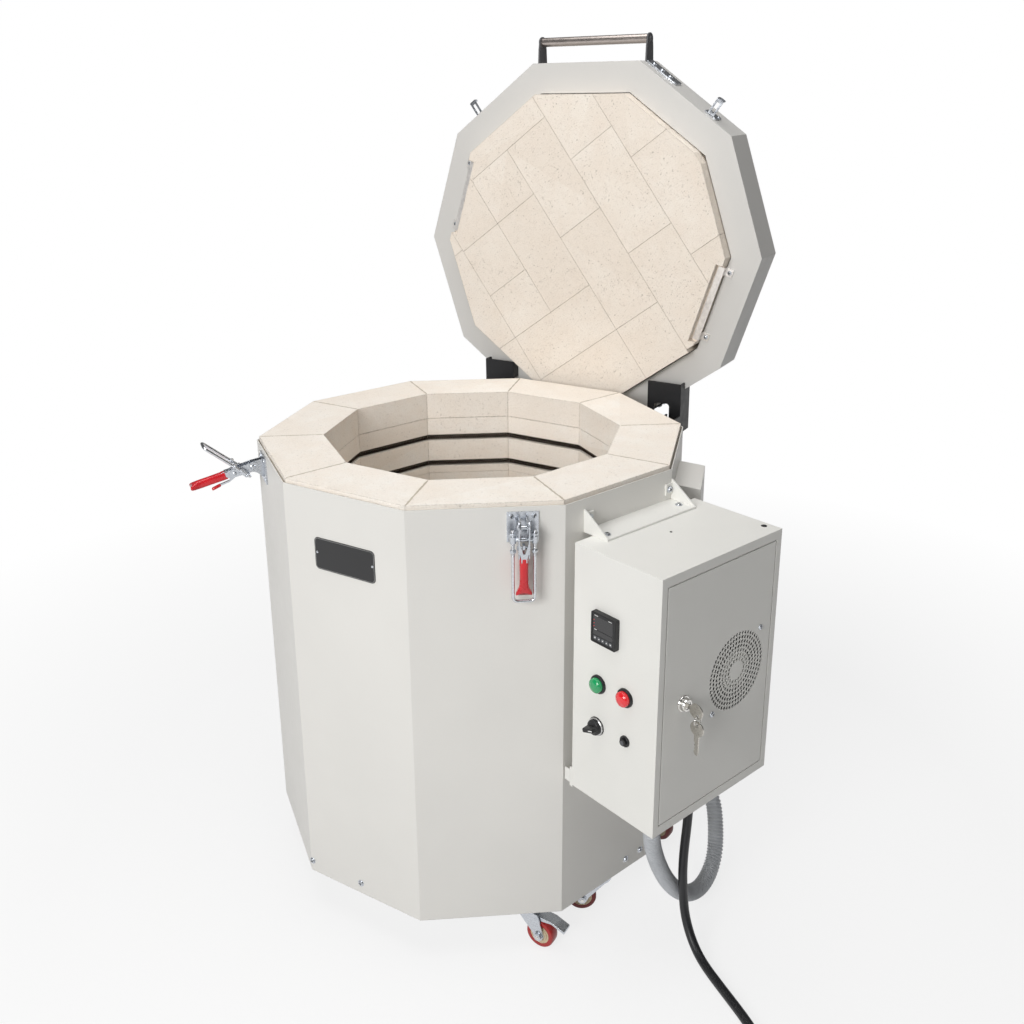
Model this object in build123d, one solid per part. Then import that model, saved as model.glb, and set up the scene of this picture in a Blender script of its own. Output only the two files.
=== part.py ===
from build123d import *
import math
import os

# A ten-sided top-loading kiln on castors, with its lid open and its control box on the side.
# Millimetres, +Z up, the floor at z = 0 and the chamber's axis at x = y = 0.
# Panels are named by the azimuth of their outward normal; the front panel is at 270.

# Casing
SIDES = 10
CASE_AF = 708.0
CASE_HEIGHT = 712.0
CASE_LIFT = 76.0
SHEET = 1.5
BASE_PLATE = 3.0
BASE_FLANGE = 30.0

# Refractory
BRICK_THICK = 64.0
BRICK_WIDE = 114.0
BRICK_JOINT = 0.5
RIM_THICK = 50.0
RIM_PROUD = 6.0
RIM_EDGE_GAP = 2.5
WALL_TO_AXIS = 246.0
BOARD_GAP = 0.5
COURSES = 4
FLOOR_LAYERS = 2
GROOVE_HIGH = 12.0
GROOVE_DEEP = 15.0
GROOVE_DROPS = (40.0, 94.0)

# Heating elements and their terminals
COIL_RADIUS = 5.0
COIL_CHAMFER = 2.9
COIL_CLEAR = 0.3
TAIL_RADIUS = 2.5
TAIL_SIDE = 12.0
COIL_BREAK = 6.0
LINK_SLOT = 10.0
BUSH_RADIUS = 7.0
BUSH_BORE = 3.0
BUSH_SIDES = 8
BUSH_PROUD = 12.0
TAIL_PROUD = 24.0

# Terminal cover
COVER_PANEL = 18.0
COVER_WIDE = 120.0
COVER_DEEP = 44.0
COVER_TOP_DROP = 45.0
COVER_HEIGHT = 447.0
COVER_SLOPE = 6.0

# Thermocouple
PROBE_RADIUS = 4.0
PROBE_REACH = 30.0
PROBE_Z = 562.0
PROBE_SIDE = -30.0
PROBE_HEAD_RADIUS = 9.0
PROBE_HEAD = 26.0

# Lid
LID_AF = 692.0
LID_THICK = 80.0
LID_PROUD = 27.0
LID_REST_GAP = 0.5
LID_OPEN = 89.0
PLUG_TO_AXIS = 289.0
PLUG_GAP = 1.5
LID_BRICK = 64.0
LID_LAY = 54.0
LID_MODULE = 106.5
LID_SHIFT_U = -37.0
LID_SHIFT_V = 19.5
# limits of each lid brick along and across the bond, in half bricks
LID_BRICKS = (
    (-3, -0.37, -3, -2),
    (-0.37, 1.63, -3, -2),
    (1.63, 3, -3, -2),
    (-3, -1.02, -2, -1),
    (-1.02, 0.98, -2, -1),
    (0.98, 3, -2, -1),
    (-3, -1.93, -1, 1),
    (-1.93, 0, -1, 0),
    (0, 2, -1, 0),
    (2, 4, -1, 0),
    (-1.93, -0.96, 0, 1),
    (-0.96, 1.03, 0, 1),
    (-3, -0.96, 1, 2),
    (-0.96, 0.07, 1, 2),
    (0.07, 1.03, 1, 2),
    (1.03, 2, 0, 2),
    (2, 4, 0, 2),
    (-3, -1, 2, 3),
    (-1, 1.03, 2, 3),
    (1.03, 3, 2, 3),
)
NOTCH_DEEP = 13.0
NOTCH_HIGH = 14.0
RETAINER_HALF = 74.0
RETAINER_TAB = 16.0
RETAINER_SHEET = 2.0
RETAINER_PANELS = (18.0, 198.0)
HINGE_Y = 328.0
HINGE_DROP = 52.0

# Lid hinges
HINGE_IN = 155.0
HINGE_OUT = 225.0
HINGE_SHEET = 3.0
PIN_RADIUS = 5.0
PIN_FIT = 0.05
EAR_SHEET = 4.0
WEB_CLEAR = 8.0
WEB_BACK = 351.0
WEB_DEEP = 100.0

# Lid handle
HANDLE_RADIUS = 8.5
HANDLE_TO_AXIS = 385.0
HANDLE_RISE = 40.0
HANDLE_SHEET = 3.0
HANDLE_HIGH = 32.0
HANDLE_FLANGE = 75.0

# Toggle clamps and their keepers
CLAMP_SIDE = 53.0
CLAMP_PLATE = 46.0
CLAMP_PLATE_THICK = 2.5
CLAMP_DROP = 30.0
PIVOT_OUT = 20.0
PIVOT_DROP = 24.0
PIVOT_RADIUS = 3.0
BAR_DROP = 18.0
BAR_RADIUS = 3.0
BAR_HALF = 20.0
EAR_HALF_GAP = 4.0
CLAMP_SHEET = 2.0
BOLT_WIRE = 2.5
BOLT_HALF = 15.75
BOLT_REACH = 99.0
BOLT_REACH_LEFT = 79.0
GRIP_START = 43.0
GRIP_END = 105.0
GRIP_RADIUS = 8.0
LEFT_LEVER_OPEN = 77.0
LEFT_BOLT_TURN = 130.0
KEEPER_WIDE = 14.0
KEEPER_SHEET = 2.0
KEEPER_RISE = 14.5
KEEPER_SLACK = 1.0
BOLT_TOP = 15.0
BOLT_TAIL = 20.0
BOLT_CORNER = 6.0
FLARE_HALF = 12.5
TRIGGER_S = 31.0
TRIGGER_PIN = 2.0
TIP_RADIUS = 2.8

# Control box
BOX_PANEL = -18.0
BOX_GAP = 19.0
BOX_DEEP = 166.0
BOX_FRONT = -114.0
BOX_BACK = 150.0
BOX_TOP_DROP = 52.0
BOX_HEIGHT = 407.0
DOOR_MARGIN = 13.0
DOOR_END_MARGIN = 16.5
DOOR_GAP = 2.0
DOOR_RETURN = 18.0
DOOR_PIN_IN = 3.0
DOOR_PIN_RADIUS = 1.75
DOOR_PIN_LONG = 6.0

BOX_LIP = 20.0
PANEL_FIT = 0.1
RAIL_DEEP = 7.5

# Door furniture
FAN_SIDE_T = 60.0
FAN_DROP = 201.0
FAN_SIZE = 120.0
FAN_DEEP = 25.0
FAN_BORE = 57.0
FAN_HUB = 21.0
FAN_BLADES = 7
FAN_SCREW = 52.5
GRILLE_RINGS = 4
GRILLE_HOLE = 3.6
GRILLE_FIRST = 26.0
GRILLE_PITCH = 10.0
LOCK_T = -60.0
LOCK_DROP = 207.0
LOCK_RADIUS = 9.5
LOCK_PROUD = 9.0
LOCK_DEEP = 21.0
LOCK_PLUG = 6.0
CAM_LONG = 49.0
CAM_THICK = 2.5
KEY_THICK = 2.0
KEY_BOW = 12.0
KEY_HOLE = 2.6
RING_RADIUS = 7.0
RING_WIRE = 1.6
RING_PLAY = 0.8
SPARE_LONG = 42.0

# Instruments on the control face: distance from the box's inner wall, drop from its top
CONTROLLER_AT = (67.0, 112.0)
CONTROLLER_SIZE = 48.0
CONTROLLER_PROUD = 9.0
CONTROLLER_BODY = 44.6
CONTROLLER_DEEP = 80.0
GREEN_AT = (53.0, 206.0)
RED_AT = (106.0, 204.0)
SELECTOR_AT = (51.0, 277.0)
BUTTON_AT = (108.0, 274.0)
BEZEL_RADIUS = 14.5
BEZEL_THICK = 4.0
SWITCH_RADIUS = 11.0
SWITCH_DEEP = 42.0
LENS_RADIUS = 11.5
LENS_HIGH = 8.0
BUTTON_RING = 8.0
BUTTON_RADIUS = 6.0
BUTTON_RING_THICK = 3.0
BUTTON_DEEP = 20.0
BUTTON_TRAVEL = 3.0
SHAFT_RADIUS = 3.0
SHAFT_DEEP = 16.0
KNOB_RADIUS = 12.0
KNOB_SKIRT = 5.0
KNOB_RISE = 11.0
KNOB_BAR = 4.0
KNOB_TURN = 20.0

# Shelf brackets that carry the box
BRACKET_FROM = -78.0
BRACKET_TO = 118.0
BRACKET_REACH = 30.0
BRACKET_RISE = 36.0
BRACKET_SHEET = 3.0
BRACKET_TAB = 18.0
LOWER_BRACKET_Z = 360.0
LOWER_BRACKET_WIDE = 120.0
LOWER_BRACKET_HIGH = 40.0

# Screw heads
HEAD_RADIUS = 4.5
HEAD_HIGH = 3.0
BASE_SCREW_RISE = 20.0

# Castors
WHEEL_RADIUS = 25.0
WHEEL_WIDE = 20.0
HUB_RADIUS = 13.0
AXLE_RADIUS = 4.0
TRAIL = 28.0
FORK_SHEET = 2.5
FORK_CLEAR = 1.5
CUP_RADIUS = 23.0
CUP_HIGH = 6.0
STEM_RADIUS = 5.0
STEM_HIGH = 20.0
CROWN_HIGH = 6.0
PEDAL_PIN = 2.0
RUN_GAP = 0.5
# azimuth of the swivel, its distance from the axis, direction of trail, brake pedal
CASTORS = (
    (-43.0, 328.0, 0.0, True),
    (-137.0, 328.0, 120.0, True),
    (-18.0, 325.0, 210.0, False),
    (22.0, 326.0, -5.0, False),
    (118.0, 326.0, 100.0, False),
)

# Conduit, mains cable and its put-away coil
CONDUIT_RADIUS = 14.0
CONDUIT_ROOT = 12.4
CONDUIT_BORE = 11.0
CONDUIT_RIBS = 34
LOFT_STRETCH = 20
CONDUIT_ROUTE = (
    (454.0, -20.0, 299.0),
    (454.0, -20.0, 236.0),
    (450.1, 4.7, 164.9),
    (445.4, 46.4, 93.6),
    (441.6, 96.7, 43.2),
    (436.5, 147.3, 28.2),
    (421.2, 197.7, 48.2),
    (406.0, 216.0, 104.0),
    (386.0, 227.0, 150.0),
    (345.0, 226.0, 174.0),
    (304.2, 221.0, 212.0),
    (304.2, 221.0, 268.0),
)
CABLE_RADIUS = 7.5
CABLE_ROUTE = (
    (455.0, -69.0, 298.0),
    (455.0, -69.0, 232.0),
    (459.0, -97.7, 154.0),
    (462.8, -97.0, 88.4),
    (471.0, -104.0, 54.0),
    (489.0, -116.0, 24.0),
    (515.0, -134.0, 7.5),
    (560.0, -167.0, 7.5),
    (612.0, -204.0, 7.5),
    (655.0, -241.0, 7.5),
    (700.0, -275.0, 7.5),
)
COIL_PITCH = 15.8
COIL_OUTER = 98.0
COIL_IN_TURNS = 3
COIL_OUT_TURNS = 2
COIL_TAIL = 98.0
PLUG_LONG = 92.0
PLUG_GRIP = 17.0

# Places worked out from the sizes above
HALF = 180.0 / SIDES
STEP = 360.0 / SIDES
SLOPE = math.tan(math.radians(HALF))
CASE_R = CASE_AF / 2
CASE_IN = CASE_R - SHEET
RIM_Z = CASE_LIFT + CASE_HEIGHT
RIM_TOP = RIM_Z + RIM_PROUD
RIM_LOW = RIM_TOP - RIM_THICK
WALL_BACK = WALL_TO_AXIS + BRICK_THICK
COURSE = BRICK_WIDE + BRICK_JOINT
FLOOR_TOP = RIM_LOW - COURSES * COURSE - BRICK_JOINT
FLOOR_LOW = FLOOR_TOP - FLOOR_LAYERS * (BRICK_THICK + BRICK_JOINT) + BRICK_JOINT
BASE_TOP = CASE_LIFT + BASE_PLATE
PANELS = [HALF + STEP * i for i in range(SIDES)]
FRONT_PANEL = 270.0
RIGHT_PANEL = FRONT_PANEL + STEP
LEFT_PANEL = FRONT_PANEL - STEP
LID_R = LID_AF / 2
LID_FACE = RIM_TOP + LID_REST_GAP
LID_LOW = LID_FACE + LID_PROUD
LID_TOP = LID_LOW + LID_THICK
HINGE_Z = RIM_Z - HINGE_DROP
BOX_IN = CASE_R + BOX_GAP
BOX_OUT = BOX_IN + BOX_DEEP
BOX_TOP = RIM_Z - BOX_TOP_DROP
BOX_LOW = BOX_TOP - BOX_HEIGHT
DOOR_T = (BOX_FRONT + DOOR_MARGIN, BOX_BACK - DOOR_MARGIN)
DOOR_Z = (BOX_LOW + DOOR_END_MARGIN, BOX_TOP - DOOR_END_MARGIN)
DOOR_PIVOT = (BOX_OUT - DOOR_PIN_IN, DOOR_T[1] - DOOR_PIN_IN)
FAN_Z = BOX_TOP - FAN_DROP
LOCK_Z = BOX_TOP - LOCK_DROP
PIVOT_X = CASE_R + PIVOT_OUT
PIVOT_Z = RIM_Z - PIVOT_DROP
AXLE_Z = WHEEL_RADIUS
CROWN_TOP = CASE_LIFT - CUP_HIGH - RUN_GAP

LEVER_HALF = EAR_HALF_GAP + CLAMP_SHEET + 0.3
TRIGGER_PIN_HALF = LEVER_HALF + CLAMP_SHEET + 1
ARM_X = (HINGE_OUT - HINGE_SHEET - 27, HINGE_OUT - HINGE_SHEET)
EAR_X = (ARM_X[0] + HINGE_SHEET + RUN_GAP, ARM_X[1] - EAR_SHEET - RUN_GAP)
LID_EDGE_AT_HINGE = 251.0
KEY_HOLE_AT = (8.0, LOCK_PROUD + KEY_BOW + 6)
KEY_SPAN = (KEY_HOLE_AT[1] - 4, KEY_HOLE_AT[1] + 4)
PLATE_X = (BOX_IN + 10, BOX_IN + 12)
PLATE_T = (-60.0, 130.0)
PLATE_Z = (BOX_LOW + 25, BOX_TOP - 25)
RAIL_Z = (BOX_LOW + 290, BOX_LOW + 110)
HEX_TURNS = [math.radians(60 * i) for i in range(6)]
PEDAL_PIVOT = (TRAIL - 6, CROWN_TOP - CROWN_HIGH - 7)

LOW = (Align.MIN, Align.MIN, Align.MIN)


# Shared shapes


def block(x, y, z):
    """A box between two limits on each axis."""
    size = (x[1] - x[0], y[1] - y[0], z[1] - z[0])
    return Pos(x[0], y[0], z[0]) * Box(*size, align=LOW)


def outline(points, low, high):
    """A plan outline drawn up from one height to another."""
    return Pos(0, 0, low) * extrude(make_face(Polyline(*points, close=True)), high - low)


def side_plate(points, low, high):
    """An outline in Y and Z drawn along X from one place to another."""
    face = Plane.YZ * make_face(Polyline(*points, close=True))
    return Pos(low, 0, 0) * extrude(face, high - low)


def decagon(apothem):
    """The ten-sided plan, with a corner on the X axis and a flat at the front."""
    radius = apothem / math.cos(math.radians(HALF))
    turns = [math.radians(STEP * i) for i in range(SIDES)]
    return make_face(Polyline(*[(radius * math.cos(a), radius * math.sin(a)) for a in turns], close=True))


def prism(apothem, low, high):
    return Pos(0, 0, low) * extrude(decagon(apothem), high - low)


def drum(outer, inner, low, high):
    return Pos(0, 0, low) * extrude(decagon(outer) - decagon(inner), high - low)


def mitred(near, far, low, high, joint):
    """A block between two distances from the axis, mitred against its neighbours."""
    trim = joint / 2 / math.cos(math.radians(HALF))
    near_half = near * SLOPE - trim
    far_half = far * SLOPE - trim
    points = [(near, -near_half), (far, -far_half), (far, far_half), (near, near_half)]
    return outline(points, low, high)


def turned(shape, azimuth):
    """Turn a shape modelled on the +X side to the panel at an azimuth."""
    return Rot(0, 0, azimuth) * shape


def rod(start, end, radius, sides=0):
    """A straight round bar, or one with a few sides."""
    along = Vector(*end) - Vector(*start)
    section = RegularPolygon(radius, sides) if sides else Circle(radius)
    return extrude(Plane(origin=start, z_dir=along) * section, along.length)


def group(shapes):
    """Separate solids that share one node."""
    return Compound([solid for shape in shapes for solid in shape.solids()])


def on_face(x, z, shape):
    """Put a shape made along +Z on the control box's front face."""
    return turned(Pos(x, BOX_FRONT, z) * Rot(90, 0, 0) * shape, BOX_PANEL)


def on_door(t, z, shape):
    """Put a shape made along +Z on the control box's outer face; its X points down."""
    return turned(Pos(BOX_OUT, t, z) * Rot(0, 90, 0) * shape, BOX_PANEL)


def opened(shape):
    """Swing a piece of the closed lid up to where the lid stands open."""
    return Pos(0, HINGE_Y, HINGE_Z) * Rot(-LID_OPEN, 0, 0) * Pos(0, -HINGE_Y, -HINGE_Z) * shape


def mirrored(shape):
    """The same piece on the other side of the kiln."""
    return mirror(shape, Plane.YZ)


# Casing and base


def terminal_rows():
    """Heights of the element tails: one for each groove of each course."""
    tops = [RIM_LOW - BRICK_JOINT - COURSE * i for i in range(COURSES)]
    return [top - drop for top in tops for drop in GROOVE_DROPS]


def bush_holes(near, far, radius):
    """The drillings that the element tails and their bushes pass through."""
    holes = [rod((near, TAIL_SIDE, z), (far, TAIL_SIDE, z), radius, BUSH_SIDES) for z in terminal_rows()]
    return turned(group(holes), COVER_PANEL)


def probe_hole(near, far, radius):
    return turned(rod((near, PROBE_SIDE, PROBE_Z), (far, PROBE_SIDE, PROBE_Z), radius, BUSH_SIDES), COVER_PANEL)


def casing():
    shell = drum(CASE_R, CASE_IN, CASE_LIFT, RIM_Z)
    shell -= bush_holes(CASE_IN - 2, CASE_R + 2, BUSH_RADIUS)
    return shell - probe_hole(CASE_IN - 2, CASE_R + 2, PROBE_RADIUS + 1)


def swivel_places():
    """Plan position of each castor's swivel axis."""
    return [(r * math.cos(math.radians(a)), r * math.sin(math.radians(a))) for a, r, _, _ in CASTORS]


def base_tray():
    tray = prism(CASE_IN, CASE_LIFT, BASE_TOP)
    tray += drum(CASE_IN, CASE_IN - BASE_PLATE, BASE_TOP, BASE_TOP + BASE_FLANGE)
    for x, y in swivel_places():
        tray -= Pos(x, y, CASE_LIFT) * Cylinder(STEM_RADIUS, 4 * BASE_PLATE)
    return tray


# Refractory


def wall_bricks():
    """Bricks on edge, mitred at the corners, with two element grooves in each."""
    bricks = []
    for panel in PANELS:
        for course in range(COURSES):
            top = RIM_LOW - BRICK_JOINT - COURSE * course
            brick = mitred(WALL_TO_AXIS, WALL_BACK, top - BRICK_WIDE, top, BRICK_JOINT)
            for drop in GROOVE_DROPS:
                middle = top - drop
                groove = (middle - GROOVE_HIGH / 2, middle + GROOVE_HIGH / 2)
                brick -= block((WALL_TO_AXIS - 1, WALL_TO_AXIS + GROOVE_DEEP), (-BRICK_WIDE, BRICK_WIDE), groove)
            bricks.append(turned(brick, panel))
    return bricks


def floor_bricks():
    """Layers of bricks laid flat in strips, each layer across the one above."""
    strips = []
    pitch = BRICK_WIDE + BRICK_JOINT
    reach = CASE_IN - BOARD_GAP
    for layer in range(FLOOR_LAYERS):
        low = FLOOR_LOW + layer * (BRICK_THICK + BRICK_JOINT)
        disc = prism(reach, low, low + BRICK_THICK)
        count = math.ceil(reach / pitch - 0.5)
        for i in range(-count, count + 1):
            middle = i * pitch
            strip = (middle - BRICK_WIDE / 2, middle + BRICK_WIDE / 2)
            cut = block((-CASE_R, CASE_R), strip, (low, low + BRICK_THICK))
            strips.append(disc & turned(cut, 90.0 * layer))
    return strips


def link_slots():
    """Cuts between the two grooves of a course, for the link of its element."""
    rows = terminal_rows()
    side = (-TAIL_SIDE - LINK_SLOT / 2, -TAIL_SIDE + LINK_SLOT / 2)
    far = WALL_TO_AXIS + GROOVE_DEEP
    slots = [block((WALL_TO_AXIS - 1, far), side, (low, high)) for high, low in zip(rows[0::2], rows[1::2])]
    return turned(group(slots), COVER_PANEL)


def chamber_bricks():
    ways = [bush_holes(WALL_TO_AXIS - 2, WALL_BACK + 2, BUSH_RADIUS), link_slots()]
    ways.append(probe_hole(WALL_TO_AXIS - 2, WALL_BACK + 2, PROBE_RADIUS + 1))
    bricks = []
    for brick in wall_bricks():
        for way in ways:
            brick = brick - way
        bricks.append(brick)
    return group(bricks + floor_bricks())


def rim_bricks():
    """Ten flat bricks, mitred into a ring that stands proud of the casing."""
    outer = CASE_IN - RIM_EDGE_GAP
    return group([turned(mitred(WALL_TO_AXIS, outer, RIM_LOW, RIM_TOP, BRICK_JOINT), p) for p in PANELS])


def fibre_boards():
    """Board behind the wall bricks and under the floor bricks."""
    near = WALL_BACK + BOARD_GAP
    far = CASE_IN - BOARD_GAP
    low = FLOOR_TOP + BRICK_JOINT
    boards = [turned(mitred(near, far, low, RIM_LOW - BRICK_JOINT, BRICK_JOINT), p) for p in PANELS]
    way = bush_holes(near - 1, far + 1, BUSH_RADIUS) + probe_hole(near - 1, far + 1, PROBE_RADIUS + 1)
    boards = [board - way for board in boards]
    bottom = prism(CASE_IN - BASE_PLATE - BOARD_GAP, BASE_TOP, FLOOR_LOW - BRICK_JOINT)
    for x, y in swivel_places():
        bottom -= rod((x, y, BASE_TOP), (x, y, CASE_LIFT + STEM_HIGH + 1), STEM_RADIUS + 2, 6)
    boards.append(bottom)
    return group(boards)


# Heating elements


def coil_ring(z):
    """The coil's envelope round the chamber in one groove, broken at the terminal panel."""
    back = WALL_TO_AXIS + GROOVE_DEEP - 2.5
    low = z - GROOVE_HIGH / 2 + COIL_CLEAR
    ring = drum(back, back - 2 * COIL_RADIUS, low, low + 2 * COIL_RADIUS)
    long_edges = [e for e in ring.edges() if abs((e @ 0).Z - (e @ 1).Z) < 0.1]
    ring = chamfer(long_edges, COIL_CHAMFER)
    gap = block((back - 20, back + 10), (-COIL_BREAK / 2, COIL_BREAK / 2), (low - 1, low + 2 * COIL_RADIUS + 1))
    return ring - turned(gap, COVER_PANEL)


def heating_elements():
    """One element a course: its coil in two grooves, the link between them and two tails."""
    middle = WALL_TO_AXIS + GROOVE_DEEP - 2.5 - COIL_RADIUS
    rows = terminal_rows()
    elements = []
    for high, low in zip(rows[0::2], rows[1::2]):
        element = coil_ring(high) + coil_ring(low)
        element += turned(rod((middle, -TAIL_SIDE, low), (middle, -TAIL_SIDE, high), TAIL_RADIUS, 6), COVER_PANEL)
        for z in (high, low):
            tail = rod((middle, TAIL_SIDE, z), (CASE_R + TAIL_PROUD, TAIL_SIDE, z), TAIL_RADIUS, 6)
            element += turned(tail, COVER_PANEL)
        elements.append(element)
    return group(elements)


def terminal_bushes():
    """Porcelain tubes that carry the tails through brick, board and casing."""
    bushes = []
    for z in terminal_rows():
        start = (WALL_TO_AXIS + GROOVE_DEEP + 1, TAIL_SIDE, z)
        end = (CASE_R + BUSH_PROUD, TAIL_SIDE, z)
        tube = rod(start, end, BUSH_RADIUS - 0.2, BUSH_SIDES) - rod(start, end, BUSH_BORE, 6)
        bushes.append(turned(tube, COVER_PANEL))
    return group(bushes)


def thermocouple():
    """A ceramic sheath into the chamber with its head inside the terminal cover."""
    tip = (WALL_TO_AXIS - PROBE_REACH, PROBE_SIDE, PROBE_Z)
    seat = (CASE_R, PROBE_SIDE, PROBE_Z)
    head = (CASE_R + PROBE_HEAD, PROBE_SIDE, PROBE_Z)
    probe = rod(tip, head, PROBE_RADIUS, BUSH_SIDES) + rod(seat, head, PROBE_HEAD_RADIUS, BUSH_SIDES)
    return turned(probe, COVER_PANEL)


def terminal_cover():
    """A folded sheet cover with a top that slopes outward and a hole for the conduit below."""
    top = RIM_Z - COVER_TOP_DROP
    low = top - COVER_HEIGHT
    far = CASE_R + COVER_DEEP
    profile = [(CASE_R, low), (far, low), (far, top - COVER_SLOPE), (CASE_R, top)]
    inner = [(CASE_R - 1, low + SHEET), (far - SHEET, low + SHEET), (far - SHEET, top - COVER_SLOPE - SHEET)]
    inner.append((CASE_R - 1, top - SHEET))
    half = COVER_WIDE / 2
    body = Plane.XZ * make_face(Polyline(*profile, close=True))
    room = Plane.XZ * make_face(Polyline(*inner, close=True))
    shell = extrude(body, half, both=True) - extrude(room, half - SHEET, both=True)
    hole = Pos(CASE_R + COVER_DEEP / 2, 0, low) * Cylinder(CONDUIT_BORE, 6 * SHEET)
    return turned(shell - hole, COVER_PANEL)


# Control box


def box_frame():
    """Limits of the door opening in the outer face."""
    return (DOOR_T[0] - DOOR_GAP, DOOR_T[1] + DOOR_GAP), (DOOR_Z[0] - DOOR_GAP, DOOR_Z[1] + DOOR_GAP)


def face_hole(place, radius):
    """A drilling through the control face for an instrument."""
    centre = (BOX_IN + place[0], BOX_TOP - place[1])
    return Pos(centre[0], BOX_FRONT, centre[1]) * Rot(90, 0, 0) * Cylinder(radius, 6 * SHEET)


def box_shell():
    """Folded sheet body with a lip turned in round the door opening."""
    inset = SHEET
    shell = block((BOX_IN, BOX_OUT), (BOX_FRONT, BOX_BACK), (BOX_LOW, BOX_TOP))
    room = ((BOX_IN + inset, BOX_OUT - inset), (BOX_FRONT + inset, BOX_BACK - inset))
    shell -= block(*room, (BOX_LOW + inset, BOX_TOP - inset))
    t, z = box_frame()
    lip_x = (BOX_OUT - BOX_LIP, BOX_OUT)
    shell += block(lip_x, (t[0] - inset, t[1] + inset), (z[0] - inset, z[1] + inset))
    shell -= block((BOX_OUT - BOX_LIP - 1, BOX_OUT + 1), t, z)
    cut = CONTROLLER_BODY / 2 + PANEL_FIT
    x, drop = BOX_IN + CONTROLLER_AT[0], BOX_TOP - CONTROLLER_AT[1]
    shell -= block((x - cut, x + cut), (BOX_FRONT - 1, BOX_FRONT + 2 * SHEET), (drop - cut, drop + cut))
    for place in (GREEN_AT, RED_AT, SELECTOR_AT):
        shell -= face_hole(place, SWITCH_RADIUS + PANEL_FIT)
    shell -= face_hole(BUTTON_AT, BUTTON_RADIUS + 1 + PANEL_FIT)
    for z_end in (DOOR_Z[0] - DOOR_GAP, DOOR_Z[1] + DOOR_GAP):
        hole = Cylinder(DOOR_PIN_RADIUS + PIN_FIT, 4 * SHEET)
        shell -= Pos(DOOR_PIVOT[0], DOOR_PIVOT[1], z_end) * hole
    return turned(shell, BOX_PANEL)


def mounting_plate():
    """Steel plate on four pillars with two rails for the switchgear."""
    plate = block(PLATE_X, PLATE_T, PLATE_Z)
    for t in (PLATE_T[0] + 12, PLATE_T[1] - 12):
        for z in (PLATE_Z[0] + 12, PLATE_Z[1] - 12):
            plate += rod((BOX_IN + SHEET, t, z), (PLATE_X[0] + 1, t, z), 5, 6)
    for z in RAIL_Z:
        plate += block((PLATE_X[1], PLATE_X[1] + RAIL_DEEP), (PLATE_T[0] + 10, PLATE_T[1] - 10), (z - 17.5, z + 17.5))
    return turned(plate, BOX_PANEL)


def switchgear():
    """Two contactors and a breaker on the upper rail, a terminal row on the lower one."""
    near = PLATE_X[1] + RAIL_DEEP
    pieces = []
    for t in (-30.0, 22.0):
        body = block((near, near + 52), (t, t + 45), (RAIL_Z[0] - 37, RAIL_Z[0] + 37))
        body += block((near + 52, near + 60), (t + 8, t + 37), (RAIL_Z[0] - 22, RAIL_Z[0] + 22))
        pieces.append(body)
    breaker = block((near, near + 44), (74.0, 110.0), (RAIL_Z[0] - 42, RAIL_Z[0] + 42))
    breaker += block((near + 44, near + 56), (74.0, 110.0), (RAIL_Z[0] - 22, RAIL_Z[0] + 22))
    pieces.append(breaker)
    for i in range(6):
        t = 10.0 + 13.0 * i
        pieces.append(block((near, near + 38), (t, t + 12), (RAIL_Z[1] - 24, RAIL_Z[1] + 24)))
    return turned(group(pieces), BOX_PANEL)


def controller():
    """Temperature controller: a square bezel on the face and its body behind."""
    half, body = CONTROLLER_SIZE / 2, CONTROLLER_BODY / 2
    bezel = chamfer(block((-half, half), (-half, half), (0, CONTROLLER_PROUD)).edges().group_by(Axis.Z)[-1], 1.5)
    case = bezel + block((-body, body), (-body, body), (-CONTROLLER_DEEP, 0.5))
    return on_face(BOX_IN + CONTROLLER_AT[0], BOX_TOP - CONTROLLER_AT[1], case)


def instrument(place, shape):
    return on_face(BOX_IN + place[0], BOX_TOP - place[1], shape)


def barrel(radius, low, high):
    return Pos(0, 0, low) * Cylinder(radius, high - low, align=(Align.CENTER, Align.CENTER, Align.MIN))


def switch_bodies():
    """Bezel and body of the two lamps, the selector and the push button."""
    lamp = barrel(BEZEL_RADIUS, 0, BEZEL_THICK) + barrel(SWITCH_RADIUS, -SWITCH_DEEP, 0)
    selector = lamp - barrel(SHAFT_RADIUS + PIN_FIT, -SHAFT_DEEP, BEZEL_THICK)
    button = barrel(BUTTON_RING, 0, BUTTON_RING_THICK) + barrel(BUTTON_RADIUS + 1, -BUTTON_DEEP, 0)
    button -= barrel(BUTTON_RADIUS - 0.5, -BUTTON_DEEP + 2, BUTTON_RING_THICK)
    bodies = [instrument(GREEN_AT, lamp), instrument(RED_AT, lamp)]
    return group(bodies + [instrument(SELECTOR_AT, selector), instrument(BUTTON_AT, button)])


def lamp_lenses():
    lens = chamfer(barrel(LENS_RADIUS, BEZEL_THICK, BEZEL_THICK + LENS_HIGH).edges().group_by(Axis.Z)[-1], 2.5)
    return group([instrument(GREEN_AT, lens), instrument(RED_AT, lens)])


def selector_knob():
    """Skirted knob with a raised bar, on a shaft that turns in the switch body."""
    low = BEZEL_THICK + RUN_GAP
    knob = barrel(KNOB_RADIUS, low, low + KNOB_SKIRT)
    bar = block((-KNOB_RADIUS + 1, KNOB_RADIUS - 1), (-KNOB_BAR, KNOB_BAR), (low, low + KNOB_SKIRT + KNOB_RISE))
    shaft = barrel(SHAFT_RADIUS, -SHAFT_DEEP + 2, low)
    return instrument(SELECTOR_AT, Rot(0, 0, KNOB_TURN) * (knob + bar) + shaft)


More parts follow.
